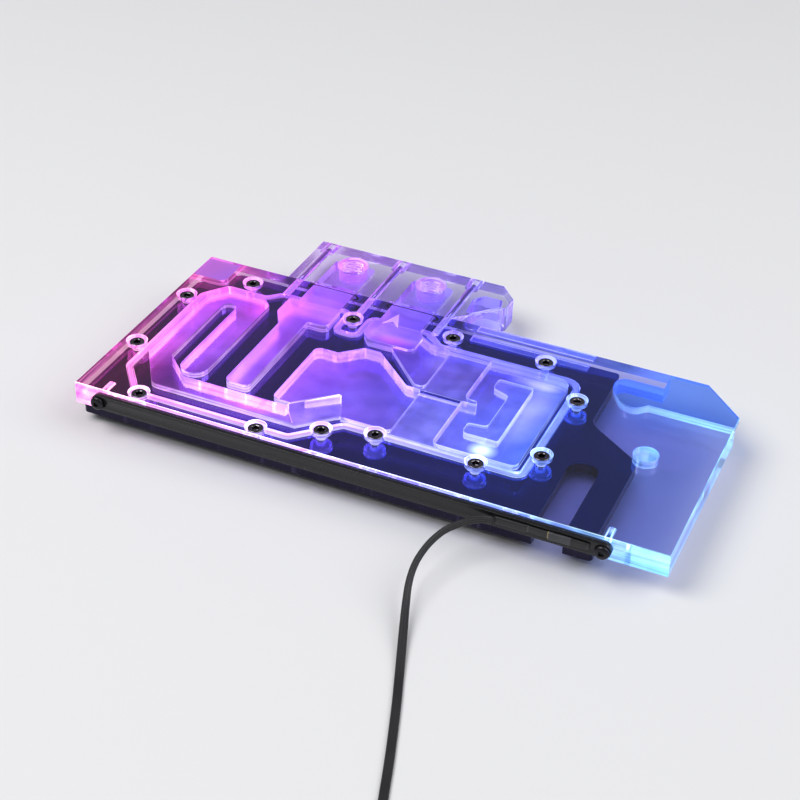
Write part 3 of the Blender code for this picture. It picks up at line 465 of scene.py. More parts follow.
def eased(share):
    # 3 s^2 - 2 s^3, with s held between 0 and 1
    held = np.clip(share, 0, 1)
    return held * held * (3 - 2 * held)


def turnedBy(angle):
    # rows of points times this matrix are turned about Z
    c, s = math.cos(angle), math.sin(angle)
    return np.array(((c, s, 0), (-s, c, 0), (0, 0, 1)))


def aroundZ(radius, turn, height):
    # points at a radius and a height, one for each angle of the turn
    return np.stack(np.broadcast_arrays(radius * np.cos(turn), radius * np.sin(turn), height), axis=-1)


def squareTurn(columns, power):
    # unit circle pushed towards a square: cos and sin to the power, each with its sign kept
    turn = np.linspace(0, math.tau, columns, endpoint=False)
    return [np.sign(wave) * np.abs(wave) ** power for wave in (np.cos(turn), np.sin(turn))]


def meshOf(name, grid, faces):
    # mesh over a grid of points, with equal points merged and faces turned outwards
    mesh = bpy.data.meshes.new(name)
    mesh.from_pydata(grid.reshape(-1, 3).tolist(), [], faces)
    shape = bmesh.new()
    shape.from_mesh(mesh)
    bmesh.ops.remove_doubles(shape, verts=shape.verts, dist=1e-7)
    bmesh.ops.recalc_face_normals(shape, faces=shape.faces)
    shape.to_mesh(mesh)
    shape.free()
    return mesh


def gridMesh(name, grid):
    # rows of points along the piece, columns round it, and a flat face at each end
    rows, columns = grid.shape[:2]
    index = np.arange(rows * columns).reshape(rows, columns)
    right = np.roll(index, -1, axis=1)
    faces = np.stack((index[:-1], right[:-1], right[1:], index[1:]), axis=-1).reshape(-1, 4).tolist()
    return meshOf(name, grid, faces + [index[0, ::-1].tolist(), index[-1].tolist()])


def ringMesh(name, grid):
    # a grid that closes both ways
    rows, columns = grid.shape[:2]
    index = np.arange(rows * columns).reshape(rows, columns)
    right, down = np.roll(index, -1, axis=1), np.roll(index, -1, axis=0)
    faces = np.stack((index, right, np.roll(down, -1, axis=1), down), axis=-1).reshape(-1, 4)
    return meshOf(name, grid, faces.tolist())


def addPiece(name, mesh, materials, replaced=(), soft=35, flatTops=False):
    # edges sharper than soft degrees stay sharp; flatTops keeps faces square to an axis flat
    made = newObject(name, mesh)
    for one in materials:
        mesh.materials.append(one)
    mesh.shade_smooth()
    mesh.set_sharp_from_angle(angle=math.radians(soft))
    if flatTops:
        normals = np.empty(len(mesh.polygons) * 3)
        mesh.polygons.foreach_get("normal", normals)
        mesh.polygons.foreach_set("use_smooth", np.abs(normals.reshape(-1, 3)).max(axis=1) < 0.9995)
    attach(made, "root")
    if replaced:
        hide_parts(*replaced)
    return made


def onPlan(x, y, z=0.0):
    # from the cover's front left corner to the frame
    return np.array((x, y, z)) + planCorner


# the lead

lead = dict(
    route=((0.1877, -0.0053, 0.0156), (0.1838, -0.0062, 0.0154), (0.1794, -0.0087, 0.0148),
           (0.1741, -0.0148, 0.0140), (0.1713, -0.0206, 0.0130), (0.1696, -0.0273, 0.0116),
           (0.1691, -0.0350, 0.0098), (0.1703, -0.0431, 0.0078), (0.1729, -0.0516, 0.0058),
           (0.1762, -0.0609, 0.0040), (0.1802, -0.0718, 0.0026), (0.1843, -0.0830, 0.0019),
           (0.1898, -0.0981, 0.0018), (0.1969, -0.1189, 0.0018), (0.2016, -0.1337, 0.0018),
           (0.2060, -0.1477, 0.0018)),
    routeLow=0.0018, settleFrom=0.0080, settleOver=0.0062,
    width=0.0034, core=0.00062, coreStep=0.00108, outlinePoints=48,
    lie=0.00065,  # height of its middle where it lies flat
    twistFrom=0.012, twistOver=0.080,  # it leaves the bar on edge and turns flat along this stretch
    coilMiddle=(0.2306, -0.1553), coilStart=math.radians(198), coilOuter=0.0222, coilInner=0.0185,
    coilTurn=math.radians(810), inwardTurn=math.radians(450), coilPoints=72,
    layerStep=0.0013, climbFrom=math.radians(420), climbOver=math.radians(60),
    tail=0.0168, tailHigh=0.0028,
    tieTurn=math.radians(62), tieLift=0.00035, tieSpread=0.25,
    pointStep=0.0009,
)


def smoothThrough(points, perSpan):
    # smooth curve through the points: a cubic in t over each span, from its four nearest points
    knots = np.vstack((2 * points[0] - points[1], points, 2 * points[-1] - points[-2]))
    t = np.linspace(0, 1, perSpan, endpoint=False)[None, :, None]
    a, b, c, d = (knots[i:len(knots) - 3 + i][:, None, :] for i in range(4))
    squares = (2 * a - 5 * b + 4 * c - d) * t ** 2
    cubes = (3 * b - a - 3 * c + d) * t ** 3
    spans = 0.5 * (2 * b + (c - a) * t + squares + cubes)
    return np.vstack((spans.reshape(-1, 3), points[-1:]))


def evenly(points, step):
    # the same curve, with points at an even step along it
    run = np.concatenate(([0], np.cumsum(np.linalg.norm(np.diff(points, axis=0), axis=1))))
    at = np.linspace(0, run[-1], int(run[-1] / step) + 1)
    return np.stack([np.interp(at, run, points[:, k]) for k in range(3)], axis=1), run[-1]


def leadPath():
    # route to the floor, then a flat coil: in over one layer, out over the next, and on to the plug.
    # radius = outer + (inner - outer) x (share gone inwards - share gone outwards)
    route = np.array(lead["route"])
    settle = np.clip((lead["settleFrom"] - route[:, 2]) / lead["settleOver"], 0, 1)
    route[:, 2] -= settle * (lead["routeLow"] - lead["lie"])
    turn = np.linspace(0, lead["coilTurn"], lead["coilPoints"])
    inward = np.clip(turn / lead["inwardTurn"], 0, 1)
    outward = np.clip((turn - lead["inwardTurn"]) / (lead["coilTurn"] - lead["inwardTurn"]), 0, 1)
    radius = lead["coilOuter"] + (lead["coilInner"] - lead["coilOuter"]) * (inward - outward)
    climb = eased((turn - lead["climbFrom"]) / lead["climbOver"])
    angle = lead["coilStart"] + turn
    fromTie = (angle - lead["tieTurn"] + math.pi) % math.tau - math.pi
    lifted = lead["tieLift"] * np.exp(-(fromTie / lead["tieSpread"]) ** 2)
    coil = aroundZ(radius, angle, lead["lie"] + lead["layerStep"] * climb + lifted)
    coil[:, :2] += lead["coilMiddle"]
    ahead = np.array((-math.sin(angle[-1]), math.cos(angle[-1]), 0.0))
    shares = np.linspace(0.25, 1, 4)
    tail = coil[-1] + ahead * shares[:, None] * lead["tail"]
    tail[:, 2] = coil[-1, 2] + shares * (lead["tailHigh"] - coil[-1, 2])
    path = smoothThrough(np.vstack((route, coil, tail)), 8)
    return evenly(path + planCorner, lead["pointStep"])


def leadProfile():
    # outline of three round cores side by side, as (across, up) points
    angle = np.linspace(0, math.tau, lead["outlinePoints"], endpoint=False)
    across = (lead["coreStep"] + lead["core"]) * np.cos(angle)
    near = np.abs(across[:, None] - lead["coreStep"] * np.array((-1, 0, 1))[None, :]).min(axis=1)
    up = np.sqrt(np.clip(lead["core"] ** 2 - near ** 2, 0, None)) * np.sign(np.sin(angle))
    return across, up


def makeLead():
    # the outline goes along the path, tilted by a right angle x (1 - eased share of the twist)
    path, length = leadPath()
    ahead = unit(np.gradient(path, axis=0))
    level = unit(np.cross(ahead, (0, 0, 1)))
    upright = np.cross(level, ahead)
    run = np.linspace(0, length, len(path))
    tilt = (math.pi / 2) * (1 - eased((run - lead["twistFrom"]) / lead["twistOver"]))
    across = level * np.cos(tilt)[:, None] + upright * np.sin(tilt)[:, None]
    up = np.cross(across, ahead)
    width, height = (side[None, :, None] for side in leadProfile())
    mesh = gridMesh("lead", path[:, None, :] + across[:, None, :] * width + up[:, None, :] * height)
    made = addPiece("lead", mesh, [leadSkin], ("led_lead", "led_lead_coil"), 60)
    return made, path, length


leadPiece, leadLine, leadLength = makeLead()
print("lead", round(leadLength, 4), "m")


# copies of CAD solids, and their cutters

def cadCopy(node, flatten=True):
    # points merged, and level stretches made one face
    shape = bmesh.new()
    shape.from_mesh(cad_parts[node].data)
    bmesh.ops.remove_doubles(shape, verts=shape.verts, dist=2e-6)
    if flatten:
        bmesh.ops.dissolve_limit(shape, angle_limit=math.radians(0.6), verts=shape.verts, edges=shape.edges)
    bmesh.ops.recalc_face_normals(shape, faces=shape.faces)
    mesh = bpy.data.meshes.new(node + "Copy")
    shape.to_mesh(mesh)
    shape.free()
    return mesh


def turned(profile, sides, place, alongY=False):
    # (radius, height) points turned round an axis along Z, or along Y for a bore in an edge
    angle = np.linspace(0, math.tau, sides, endpoint=False)
    radius, height = np.array(profile, float).T[..., None]
    rings = aroundZ(radius, angle, height)
    if alongY:
        rings = rings[..., (0, 2, 1)] * (1, 1, -1)
    return rings + np.array(place, float)


def squareBlock(low, high):
    # eight corners as a grid of two rows
    (x0, y0, z0), (x1, y1, z1) = low, high
    return np.array([[(x0, y0, z), (x1, y0, z), (x1, y1, z), (x0, y1, z)] for z in (z0, z1)], float)


def joined(name, grids):
    shape = bmesh.new()
    for grid in grids:
        mesh = gridMesh(name, grid)
        shape.from_mesh(mesh)
        bpy.data.meshes.remove(mesh)
    mesh = bpy.data.meshes.new(name)
    shape.to_mesh(mesh)
    shape.free()
    return mesh


def reshaped(mesh, *steps):
    # the mesh with modifiers applied: each step is a kind and its settings; a cutter is given as a mesh
    body = newObject("body", mesh)
    helpers = []
    for kind, settings in steps:
        step = body.modifiers.new(kind, kind)
        for name, value in settings.items():
            if isinstance(value, bpy.types.Mesh):
                value = newObject("cutter", value)
                helpers.append(value)
            setattr(step, name, value)
    graph = bpy.context.evaluated_depsgraph_get()
    made = bpy.data.meshes.new_from_object(body.evaluated_get(graph))
    for one in [body] + helpers:
        data = one.data
        bpy.data.objects.remove(one)
        bpy.data.meshes.remove(data)
    return made


def cut(cutter):
    return "BOOLEAN", {"operation": "DIFFERENCE", "solver": "EXACT", "object": cutter}


def sortFaces(mesh, chooser):
    # the chooser gives each face's material number from the faces' centres and normals
    centres = np.empty(len(mesh.polygons) * 3)
    normals = np.empty(len(mesh.polygons) * 3)
    mesh.polygons.foreach_get("center", centres)
    mesh.polygons.foreach_get("normal", normals)
    chosen = chooser(centres.reshape(-1, 3), normals.reshape(-1, 3)).astype(np.int32)
    mesh.polygons.foreach_set("material_index", chosen)


# cover

coverCut = dict(
    boreSides=56, blindSides=72, drillSides=40,
    counterbore=0.00443, seatDepth=0.00412, rim=0.00022, hole=0.00206,
    blindPlan=(0.2284, 0.0583), blindRadius=0.00523, blindRoof=0.00277,
    edgeHole=0.00164, tipSpace=0.0004,
    corner=0.0176, lowRoof=0.0052, portRoof=0.0026,
    chamfer=0.00024, chamferProud=0.0004, jointSpare=0.002,
    backStrip=((0.0045, 0.0353), (0.0587, 0.0401)), backStripDeep=0.0012,
    arrow=((0.0000, 0.0106), (-0.0040, 0.0000), (0.0000, 0.0038), (0.0040, 0.0000)),
    arrowPlace=(0.0987, 0.0977), arrowDepth=0.00022,
)
# kinds of face, and the look of each on the cover and on the block: frontWall faces away from the bar,
# pocketRoof lies outside the sealed area, and joint faces the other acrylic part
faceKinds = ("polished", "edge", "roof", "wall", "frontWall", "lowRoof", "tapped", "pocketRoof", "portRoof",
             "engraved", "joint", "chamfer")
coverFinish = ("clearFace", "litEdge", "satinRoof", "milledWall", "frontWall", "lowRoof", "tappedWall",
               "pocketRoof", "portRoof", "engraved", "backFace", "chamfer")
blockFinish = ("blockFace", "blockEdge", "blockRoof", "blockWall", "blockWall", "blockRoof", "tappedWall",
               "blockRoof", "blockRoof", "blockFace", "backFace", "chamfer")
faceRules = dict(
    level=0.9, skin=0.00005, edgeSkin=0.0002, awayFromBar=0.45,
    pocketRight=0.066, pocketCorner=(0.022, 0.024),  # reach of the pockets from the right and the back left
    tapRadius=0.0019, tapEnd=0.0005,
    engravedTop=0.00004, engravedLow=0.0004,
    jointSkin=0.0006, chamferLow=0.0005,
)
screwNames = ["cover_screw_%d" % number for number in range(1, 14)]
blockScrewNames = ["port_block_screw_%d" % number for number in (1, 2, 3)]
barScrewNames = ["light_bar_screw_left", "light_bar_screw_right"]


def middleOf(node):
    low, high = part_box(node)
    return np.array((low + high) / 2)


def arrowPoints():
    return np.array(coverCut["arrow"]) + onPlan(*coverCut["arrowPlace"])[:2]


def acrylicFaces(low, high):
    # a kind for each face; a later rule overrides an earlier one
    def chooser(centres, normals):
        rule = faceRules
        kind = faceKinds.index
        x, y, z = centres.T
        kinds = np.full(len(centres), kind("wall"))
        level = np.abs(normals[:, 2]) > rule["level"]
        polished = (z > high[2] - rule["skin"]) | (z < low[2] + rule["skin"])
        roof = level & ~polished & (normals[:, 2] < 0)
        kinds[level & polished] = kind("polished")
        kinds[roof] = kind("roof")
        kinds[roof & (z < high[2] - coverCut["lowRoof"])] = kind("lowRoof")
        besideX, besideY = rule["pocketCorner"]
        dry = (x > high[0] - rule["pocketRight"]) | ((x < low[0] + besideX) & (y > high[1] - besideY))
        kinds[(kinds == kind("roof")) & dry] = kind("pocketRoof")
        kinds[(kinds == kind("roof")) & (z > high[2] - coverCut["portRoof"])] = kind("portRoof")
        fromSide = np.minimum(np.abs(centres - low), np.abs(centres - high))[:, :2].min(axis=1)
        outside = fromSide < rule["edgeSkin"]
        corner = (high[0] - x) + (high[1] - y) < coverCut["corner"] + 0.0003
        kinds[~level & (normals[:, 1] > rule["awayFromBar"])] = kind("frontWall")
        kinds[~level & (outside | (corner & (normals[:, 0] > 0.5)))] = kind("edge")
        for name in blockScrewNames:
            tip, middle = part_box(name)[0][1], middleOf(name)
            near = np.hypot(x - middle[0], z - middle[2]) < rule["tapRadius"]
            kinds[near & (y > tip - rule["tapEnd"]) & (y < coverHigh[1])] = kind("tapped")
        ends = arrowPoints()
        around = (centres[:, :2] > ends.min(axis=0) - 0.0001) & (centres[:, :2] < ends.max(axis=0) + 0.0001)
        sunk = (z < high[2] - rule["engravedTop"]) & (z > high[2] - rule["engravedLow"])
        kinds[around.all(axis=1) & sunk] = kind("engraved")
        kinds[(np.abs(normals[:, 1]) > 0.99) & (np.abs(y - middleGap) < rule["jointSkin"])] = kind("joint")
        slanted = np.abs(normals[:, 2] - 0.707) < 0.1
        kinds[slanted & (z > high[2] - rule["chamferLow"])] = kind("chamfer")
        fromBlind = np.hypot(*(centres - onPlan(*coverCut["blindPlan"]))[:, :2].T)
        kinds[(fromBlind < coverCut["blindRadius"] * 0.9) & (kinds == kind("pocketRoof"))] = kind("lowRoof")
        return kinds
    return chooser


def topOutline(node):
    # outline of a plate's top face, from its points in order of x: a chain out that only turns left, and back
    points = np.array([v.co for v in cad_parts[node].data.vertices])
    top = points[:, 2].max()
    level = np.unique(points[points[:, 2] > top - 0.00001][:, :2].round(5), axis=0)
    rows = []
    for ordered in (level, level[::-1]):
        chain = []
        for point in ordered:
            while len(chain) > 1 and np.cross(chain[-1] - chain[-2], point - chain[-1]) <= 1e-9:
                chain.pop()
            chain.append(point)
        rows += chain[:-1]
    return np.array(rows), top


def topChamfer(node):
    # three-sided bar carried round the top outline, which cuts its edge at 45 degrees
    ring, top = topOutline(node)
    along = unit(np.roll(ring, -1, axis=0) - ring)
    outward = np.stack((along[:, 1], -along[:, 0]), axis=1)
    before = np.roll(outward, 1, axis=0)
    # the edge where the two acrylic parts meet stays sharp: the bar passes outside it
    atJoint = (np.abs(outward[:, 1]) > 0.99) & (np.abs(ring[:, 1] - middleGap) < 0.001)
    spare = np.where(atJoint, coverCut["jointSpare"], 0.0)
    shifts = np.stack((np.roll(spare, 1), spare), axis=1)[..., None]
    ring += np.linalg.solve(np.stack((before, outward), axis=1), shifts)[..., 0]
    mitre = (before + outward) / (1 + (before * outward).sum(axis=1, keepdims=True))
    proud = coverCut["chamferProud"]
    inner = -coverCut["chamfer"] - proud
    section = np.array(((proud, inner), (proud, proud), (inner, proud)))
    grid = np.empty((len(ring), 3, 3))
    grid[..., :2] = ring[:, None, :] + mitre[:, None, :] * section[None, :, 0, None]
    grid[..., 2] = top + section[None, :, 1]
    return ringMesh("topChamfer", grid)


def makeCover():
    # bores first, then the holes in the back edge, the arrow, the strip and the chamfer
    top, under = coverHigh[2], coverLow[2] - past
    seat, rim = top - coverCut["seatDepth"], coverCut["rim"]
    wide, hole, edgeHole = coverCut["counterbore"], coverCut["hole"], coverCut["edgeHole"]
    profile = ((hole, under), (hole, seat), (wide, seat), (wide, top - rim), (wide + 2 * rim, top + rim))
    bores = [turned(profile, coverCut["boreSides"], middleOf(name) * (1, 1, 0)) for name in screwNames]
    profile = [(coverCut["blindRadius"], height) for height in (under, top - coverCut["blindRoof"])]
    bores.append(turned(profile, coverCut["blindSides"], onPlan(*coverCut["blindPlan"])))
    mesh = reshaped(cadCopy("top_cover"), cut(joined("coverBores", bores)))
    drills = []
    for name in blockScrewNames:
        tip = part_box(name)[0][1] - coverCut["tipSpace"]
        profile = ((edgeHole, tip), (edgeHole, coverHigh[1] + past))
        drills.append(turned(profile, coverCut["drillSides"], middleOf(name) * (1, 0, 1), True))
    levels = (top - coverCut["arrowDepth"], top + past / 2)
    arrow = np.array([[(x, y, level) for x, y in arrowPoints()] for level in levels])
    (x0, y0), (x1, y1) = coverCut["backStrip"]
    strip = squareBlock((x0, y0, under), (x1, y1, coverLow[2] + coverCut["backStripDeep"]))
    mesh = reshaped(mesh, cut(joined("coverDrills", drills)), cut(gridMesh("arrow", arrow)),
                    cut(gridMesh("backStrip", strip)), cut(topChamfer("top_cover")))
    sortFaces(mesh, acrylicFaces(coverLow, coverHigh))
    finish = [acrylics[name] for name in coverFinish]
    return addPiece("cover", mesh, finish, ("top_cover",), 30, True)


# port block

blockCut = dict(
    portPlans=((0.0623, 0.1378), (0.1014, 0.1378)), portSides=96,
    portRadius=0.00664, portDepth=0.01053, coneRise=0.001,
    mouthRadius=0.00716, mouthDepth=0.0007,
    screwBore=0.00323, headDepth=0.00622, drillSides=48,
)
portThread = dict(outer=0.00654, crest=0.00575, wall=0.00012, pitch=0.001337, columns=96, perPitch=8,
                  top=0.0008, length=0.0074, fade=0.0009, steep=1.25, flat=0.12)


def makeBlock():
    top, back, port = blockHigh[2], blockHigh[1], blockCut["portRadius"]
    floor = top - blockCut["portDepth"]
    profile = ((0.0, floor), (port, floor + blockCut["coneRise"]), (port, top - blockCut["mouthDepth"]),
               (blockCut["mouthRadius"] + past / 2, top + past / 2))
    bores = [turned(profile, blockCut["portSides"], onPlan(*plan)) for plan in blockCut["portPlans"]]
    mesh = reshaped(cadCopy("port_block"), cut(joined("portBores", bores)))
    seat, wide, hole = back - blockCut["headDepth"], blockCut["screwBore"], coverCut["edgeHole"]
    profile = ((hole, blockLow[1] - past), (hole, seat), (wide, seat), (wide, back + past))
    drills = [turned(profile, blockCut["drillSides"], middleOf(name) * (1, 0, 1), True)
              for name in blockScrewNames]
    mesh = reshaped(mesh, cut(joined("blockDrills", drills)), cut(topChamfer("port_block")))
    sortFaces(mesh, acrylicFaces(blockLow, blockHigh))
    finish = [acrylics[name] for name in blockFinish]
    return addPiece("portBlock", mesh, finish, ("port_block",), 30, True)


def makeThreads():
    # helical thread in each port, as a thin sleeve. depth = |phase - 1/2| x 2 x steep - flat, held to 0..1,
    # where phase = height / pitch + turn / full turn; the thread fades out at both ends
    spec = portThread
    rows = int(spec["length"] / spec["pitch"] * spec["perPitch"])
    height = np.linspace(0, -spec["length"], rows)[:, None]
    turn = np.linspace(0, math.tau, spec["columns"], endpoint=False)
    phase = (height / spec["pitch"] + turn / math.tau) % 1
    depth = np.clip(np.abs(phase - 0.5) * 2 * spec["steep"] - spec["flat"], 0, 1)
    fade = np.clip(np.minimum(-height, spec["length"] + height) / spec["fade"], 0, 1)
    root = spec["outer"] - spec["wall"]
    inner = aroundZ(root - fade * depth * (root - spec["crest"]), turn, height)
    outer = aroundZ(spec["outer"], turn, height[::-1])
    wall = np.concatenate((inner, outer[::3], outer[-1:]))
    for label, plan in zip(("In", "Out"), blockCut["portPlans"]):
        mesh = ringMesh("portThread" + label, wall + onPlan(*plan, blockHigh[2] - spec["top"]))
        addPiece("portThread" + label, mesh, [acrylics["threadWall"]], (), 50)


print("cover", len(makeCover().data.polygons), "faces")
print("port block", len(makeBlock().data.polygons), "faces")
makeThreads()
print("port threads")


# screws

screws = {
    "cover": dict(head=0.0033, high=0.0031, shank=0.0019, length=0.0090, socket=0.0015, deep=0.0018,
                  crown=0.0, knurls=30, knurlDepth=0.00007, pitch=0.0007, threadFrom=0.0008, columns=60),
    "block": dict(head=0.0027, high=0.0030, shank=0.0015, length=0.0425, socket=0.00125, deep=0.0016,
                  crown=0.0, knurls=26, knurlDepth=0.00006, pitch=0.0005, threadFrom=0.0240, columns=48),
    "button": dict(head=0.0030, high=0.0017, shank=0.0011, length=0.0095, socket=0.0010, deep=0.0010,
                   crown=0.0013, knurls=0, knurlDepth=0.0, pitch=0.0004, threadFrom=0.0012, columns=60),
}
edgeBreak, fineBreak, tinyBreak = 0.00022, 0.00004, 0.00002  # roundings on a screw's head


def screwGrid(spec):
    # socket, head and threaded shank as one grid: heights from the head's underside, one column per angle.
    # thread radius = shank - depth x |phase - 1/2| x 2, where phase = way down / pitch + turn / full turn
    turn = np.linspace(0, math.tau, spec["columns"], endpoint=False)
    hexagon = spec["socket"] / np.cos((turn + math.pi / 6) % (math.pi / 3) - math.pi / 6)
    ridge = np.abs((turn * spec["knurls"] / math.tau) % 1 - 0.5) * 2
    top, head, shank, pitch, length = (spec[k] for k in ("high", "head", "shank", "pitch", "length"))
    floor = top - spec["deep"]
    lip = spec["socket"] * 1.24
    rows = [(0.02 * hexagon, floor - 0.00035), (0.55 * hexagon, floor - 0.00025), (hexagon, floor),
            (hexagon, floor + fineBreak), (hexagon, top - edgeBreak), (lip, top - tinyBreak),
            (lip * 1.03, top)]
    if spec["crown"]:
        for share in np.linspace(0.1, 1, 9):
            drop = spec["crown"] * (1 - math.sqrt(max(0, 1 - share ** 2 * 0.97)))
            rows.append((lip + (head - lip) * share, top - drop))
        rows.append((head, top - spec["crown"] - 0.00008))
    else:
        knurled = head - ridge * spec["knurlDepth"]
        rows += [(head - 0.00030, top), (head - edgeBreak, top - tinyBreak),
                 (head - fineBreak, top - edgeBreak), (knurled, top - 0.00026), (knurled, 0.00036),
                 (head - fineBreak, 0.00030)]
    rows += [(head - 0.00001, 0.00012), (head - 0.00010, 0.0), (shank + 0.0002, 0.0), (shank, -0.0002),
             (shank, -spec["threadFrom"])]
    deep = pitch * 0.55
    for down in np.arange(spec["threadFrom"] + pitch / 8, length - 0.0003, pitch / 6):
        phase = (down / pitch + turn / math.tau) % 1
        grown = min(1.0, (down - spec["threadFrom"]) / pitch)
        rows.append((shank - grown * deep * np.abs(phase - 0.5) * 2, -down))
    rows += [(shank - deep, -length + 0.00015), (shank - deep - 0.0003, -length)]
    return np.array([aroundZ(radius, turn, high) for radius, high in rows])


def makeScrews():
    # heads face up on the cover, to the back on the port block and to the front on the bar
    cover, block, button = (screwGrid(spec) for spec in screws.values())
    placed = []
    for number, node in enumerate(screwNames):
        x, y, _ = middleOf(node)
        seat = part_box(node)[1][2] - screws["cover"]["high"]
        grid = cover @ turnedBy(number * 1.7) + np.array((x, y, seat))
        placed.append(("coverScrew%d" % (number + 1), node, grid, screwNickel))
    for node, label in zip(blockScrewNames, ("A", "B", "C")):
        x, _, z = middleOf(node)
        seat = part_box(node)[1][1] - screws["block"]["high"]
        grid = block[..., (0, 2, 1)] * (1, 1, -1) + np.array((x, seat, z))
        placed.append(("blockScrew" + label, node, grid, lilacLitSteel))
    for node, label in zip(barScrewNames, ("Left", "Right")):
        x, _, z = middleOf(node)
        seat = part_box(node)[0][1] + screws["button"]["high"]
        grid = button[..., (0, 2, 1)] * (1, -1, 1) + np.array((x, seat, z))
        placed.append(("barScrew" + label, node, grid, screwBlack))
    for name, node, grid, finish in placed:
        addPiece(name, gridMesh(node, grid), [finish], (node,), 40)


makeScrews()
print("screws")


# rubber seals

seal = dict(
    press=0.0005, inFace=0.00004,  # stretched this far into the cover, then held just inside its back face
    spread=0.00022,
)


def squared(mesh):
    # pairs of triangles joined back to quads, for a clean subdivision
    shape = bmesh.new()
    shape.from_mesh(mesh)
    bmesh.ops.join_triangles(shape, faces=shape.faces, angle_face_threshold=math.radians(40),
                             angle_shape_threshold=math.radians(60))
    shape.to_mesh(mesh)
    shape.free()
    return mesh


def roundCord(node, name, finish, pressed=False):
    # a seal as a smooth round cord; a pressed one is flattened against the cover's back face
    smoothed = reshaped(squared(cadCopy(node, False)), ("SUBSURF", {"levels": 2, "render_levels": 2}))
    if pressed:
        back = coverHigh[1]
        points = np.array([v.co for v in smoothed.vertices])
        near, far = points[:, 1].min(), points[:, 1].max()
        points[:, 1] = far - (far - points[:, 1]) * (far - back + seal["press"]) / (far - near)
        points[:, 1] = np.maximum(points[:, 1], back - seal["inFace"])
        sideways = np.array([v.normal for v in smoothed.vertices])
        sideways[:, 1] = 0
        points += sideways * seal["spread"]
        smoothed.vertices.foreach_set("co", points.ravel())
    return addPiece(name, smoothed, [finish], (node,), 180)


roundCord("cover_seal", "coverSeal", sealPale)
roundCord("port_seal_in", "portSealIn", sealBlack, True)
roundCord("port_seal_out", "portSealOut", sealBlack, True)
print("seals")


# edge light: bar, strip and sleeve

bar = dict(
    dark=(0.005, 0.005, 0.006), light=(0.013, 0.013, 0.014), brushScale=(14.0, 900.0, 900.0),
    # pale specks: a grey colour laid over the black in a sparse noise
    paleSpecks=(0.22, 0.22, 0.24), speckScale=1500.0, speckShare=0.35,
    edge=0.00022, stripEdge=0.00008,
    lampDepth=0.00025, lampGlow=5.0,
)
sleeve = dict(
    columns=40, power=2 / 3.4, points=70, ripple=0.012, ripples=46,
    # share of the length, depth, height
    steps=((0.00, 0.0007, 0.0024), (0.015, 0.0012, 0.0030), (0.05, 0.0014, 0.0034), (0.34, 0.0014, 0.0034),
           (0.36, 0.0010, 0.0029), (0.56, 0.0010, 0.0028), (0.58, 0.0016, 0.0034), (0.80, 0.0015, 0.0034),
           (0.82, 0.0012, 0.0031), (0.95, 0.0012, 0.0030), (0.985, 0.0010, 0.0026), (1.00, 0.0005, 0.0016)),
    # tape and shrink sleeve end to end along X, with a pale gap and a brass line between them
    patches=((0.00, (0.010, 0.010, 0.011)), (0.35, (0.055, 0.055, 0.060)), (0.37, (0.012, 0.012, 0.013)),
             (0.565, (0.30, 0.22, 0.10)), (0.575, (0.045, 0.046, 0.052)), (0.805, (0.008, 0.008, 0.009)),
             (0.97, (0.03, 0.03, 0.034))),
)


def barPaint():
    # satin black with brushing along X and a few pale specks
    made, tree, shader = newMaterial("barPaint", Metallic=0.15)
    brushed = noiseIn(tree, bar["brushScale"], 3.0)
    paleSpecks = stretch(tree, noiseIn(tree, bar["speckScale"], 1.0), 0.70, 0.76, 0.0, bar["speckShare"])
    base = mixColours(tree, brushed, bar["dark"], bar["light"])
    wires(tree, shader, Base_Color=mixColours(tree, paleSpecks, base, bar["paleSpecks"]),
          Roughness=spread(tree, brushed, 0.20, 0.34))
    bumpFrom(tree, shader, brushed, 0.000006)
    return made


def ledGlow():
    # the light packages shine in the colour of their place along the bar
    made, tree, shader = newMaterial("ledGlow", Roughness=0.3, Emission_Strength=bar["lampGlow"])
    lit = placeGroup(tree, ledLight, Pale=0.55, Streaks=0.0)["Colour"]
    wires(tree, shader, Emission_Color=lit, Base_Color=lit)
    return made


def patchedSleeve():
    # a few flat shades of black along X, made uneven by a noise
    made, tree, shader = newMaterial("sleeveSkin")
    low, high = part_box("lead_joint")
    along = stretch(tree, placeAlong(tree, "X"), float(low[0]), float(high[0]))
    patches = rampIn(tree, along, sleeve["patches"], "CONSTANT")
    cloud = noiseIn(tree, 300.0, 4.0)
    wires(tree, shader, Base_Color=mixColours(tree, 1.0, patches, spread(tree, cloud, 0.7, 1.3), "MULTIPLY"),
          Roughness=spread(tree, cloud, 0.30, 0.52))
    grainOn(tree, shader, 1600.0, 0.00003)
    return made


barBlack = barPaint()
ledShine = ledGlow()
sleeveSkin = patchedSleeve()


def brokenEdges(node, width, segments):
    settings = dict(width=width, segments=segments, limit_method="ANGLE", angle_limit=math.radians(40))
    return reshaped(cadCopy(node), ("BEVEL", settings))


def makeBar():
    addPiece("lightBar", brokenEdges("light_bar", bar["edge"], 2), [barBlack], ("light_bar",))
    strip = brokenEdges("led_strip", bar["stripEdge"], 1)
    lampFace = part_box("led_strip")[1][1] - bar["lampDepth"]
    sortFaces(strip, lambda centres, normals: (centres[:, 1] > lampFace).astype(int))
    addPiece("ledStrip", strip, [stripBoard, ledShine], ("led_strip",))


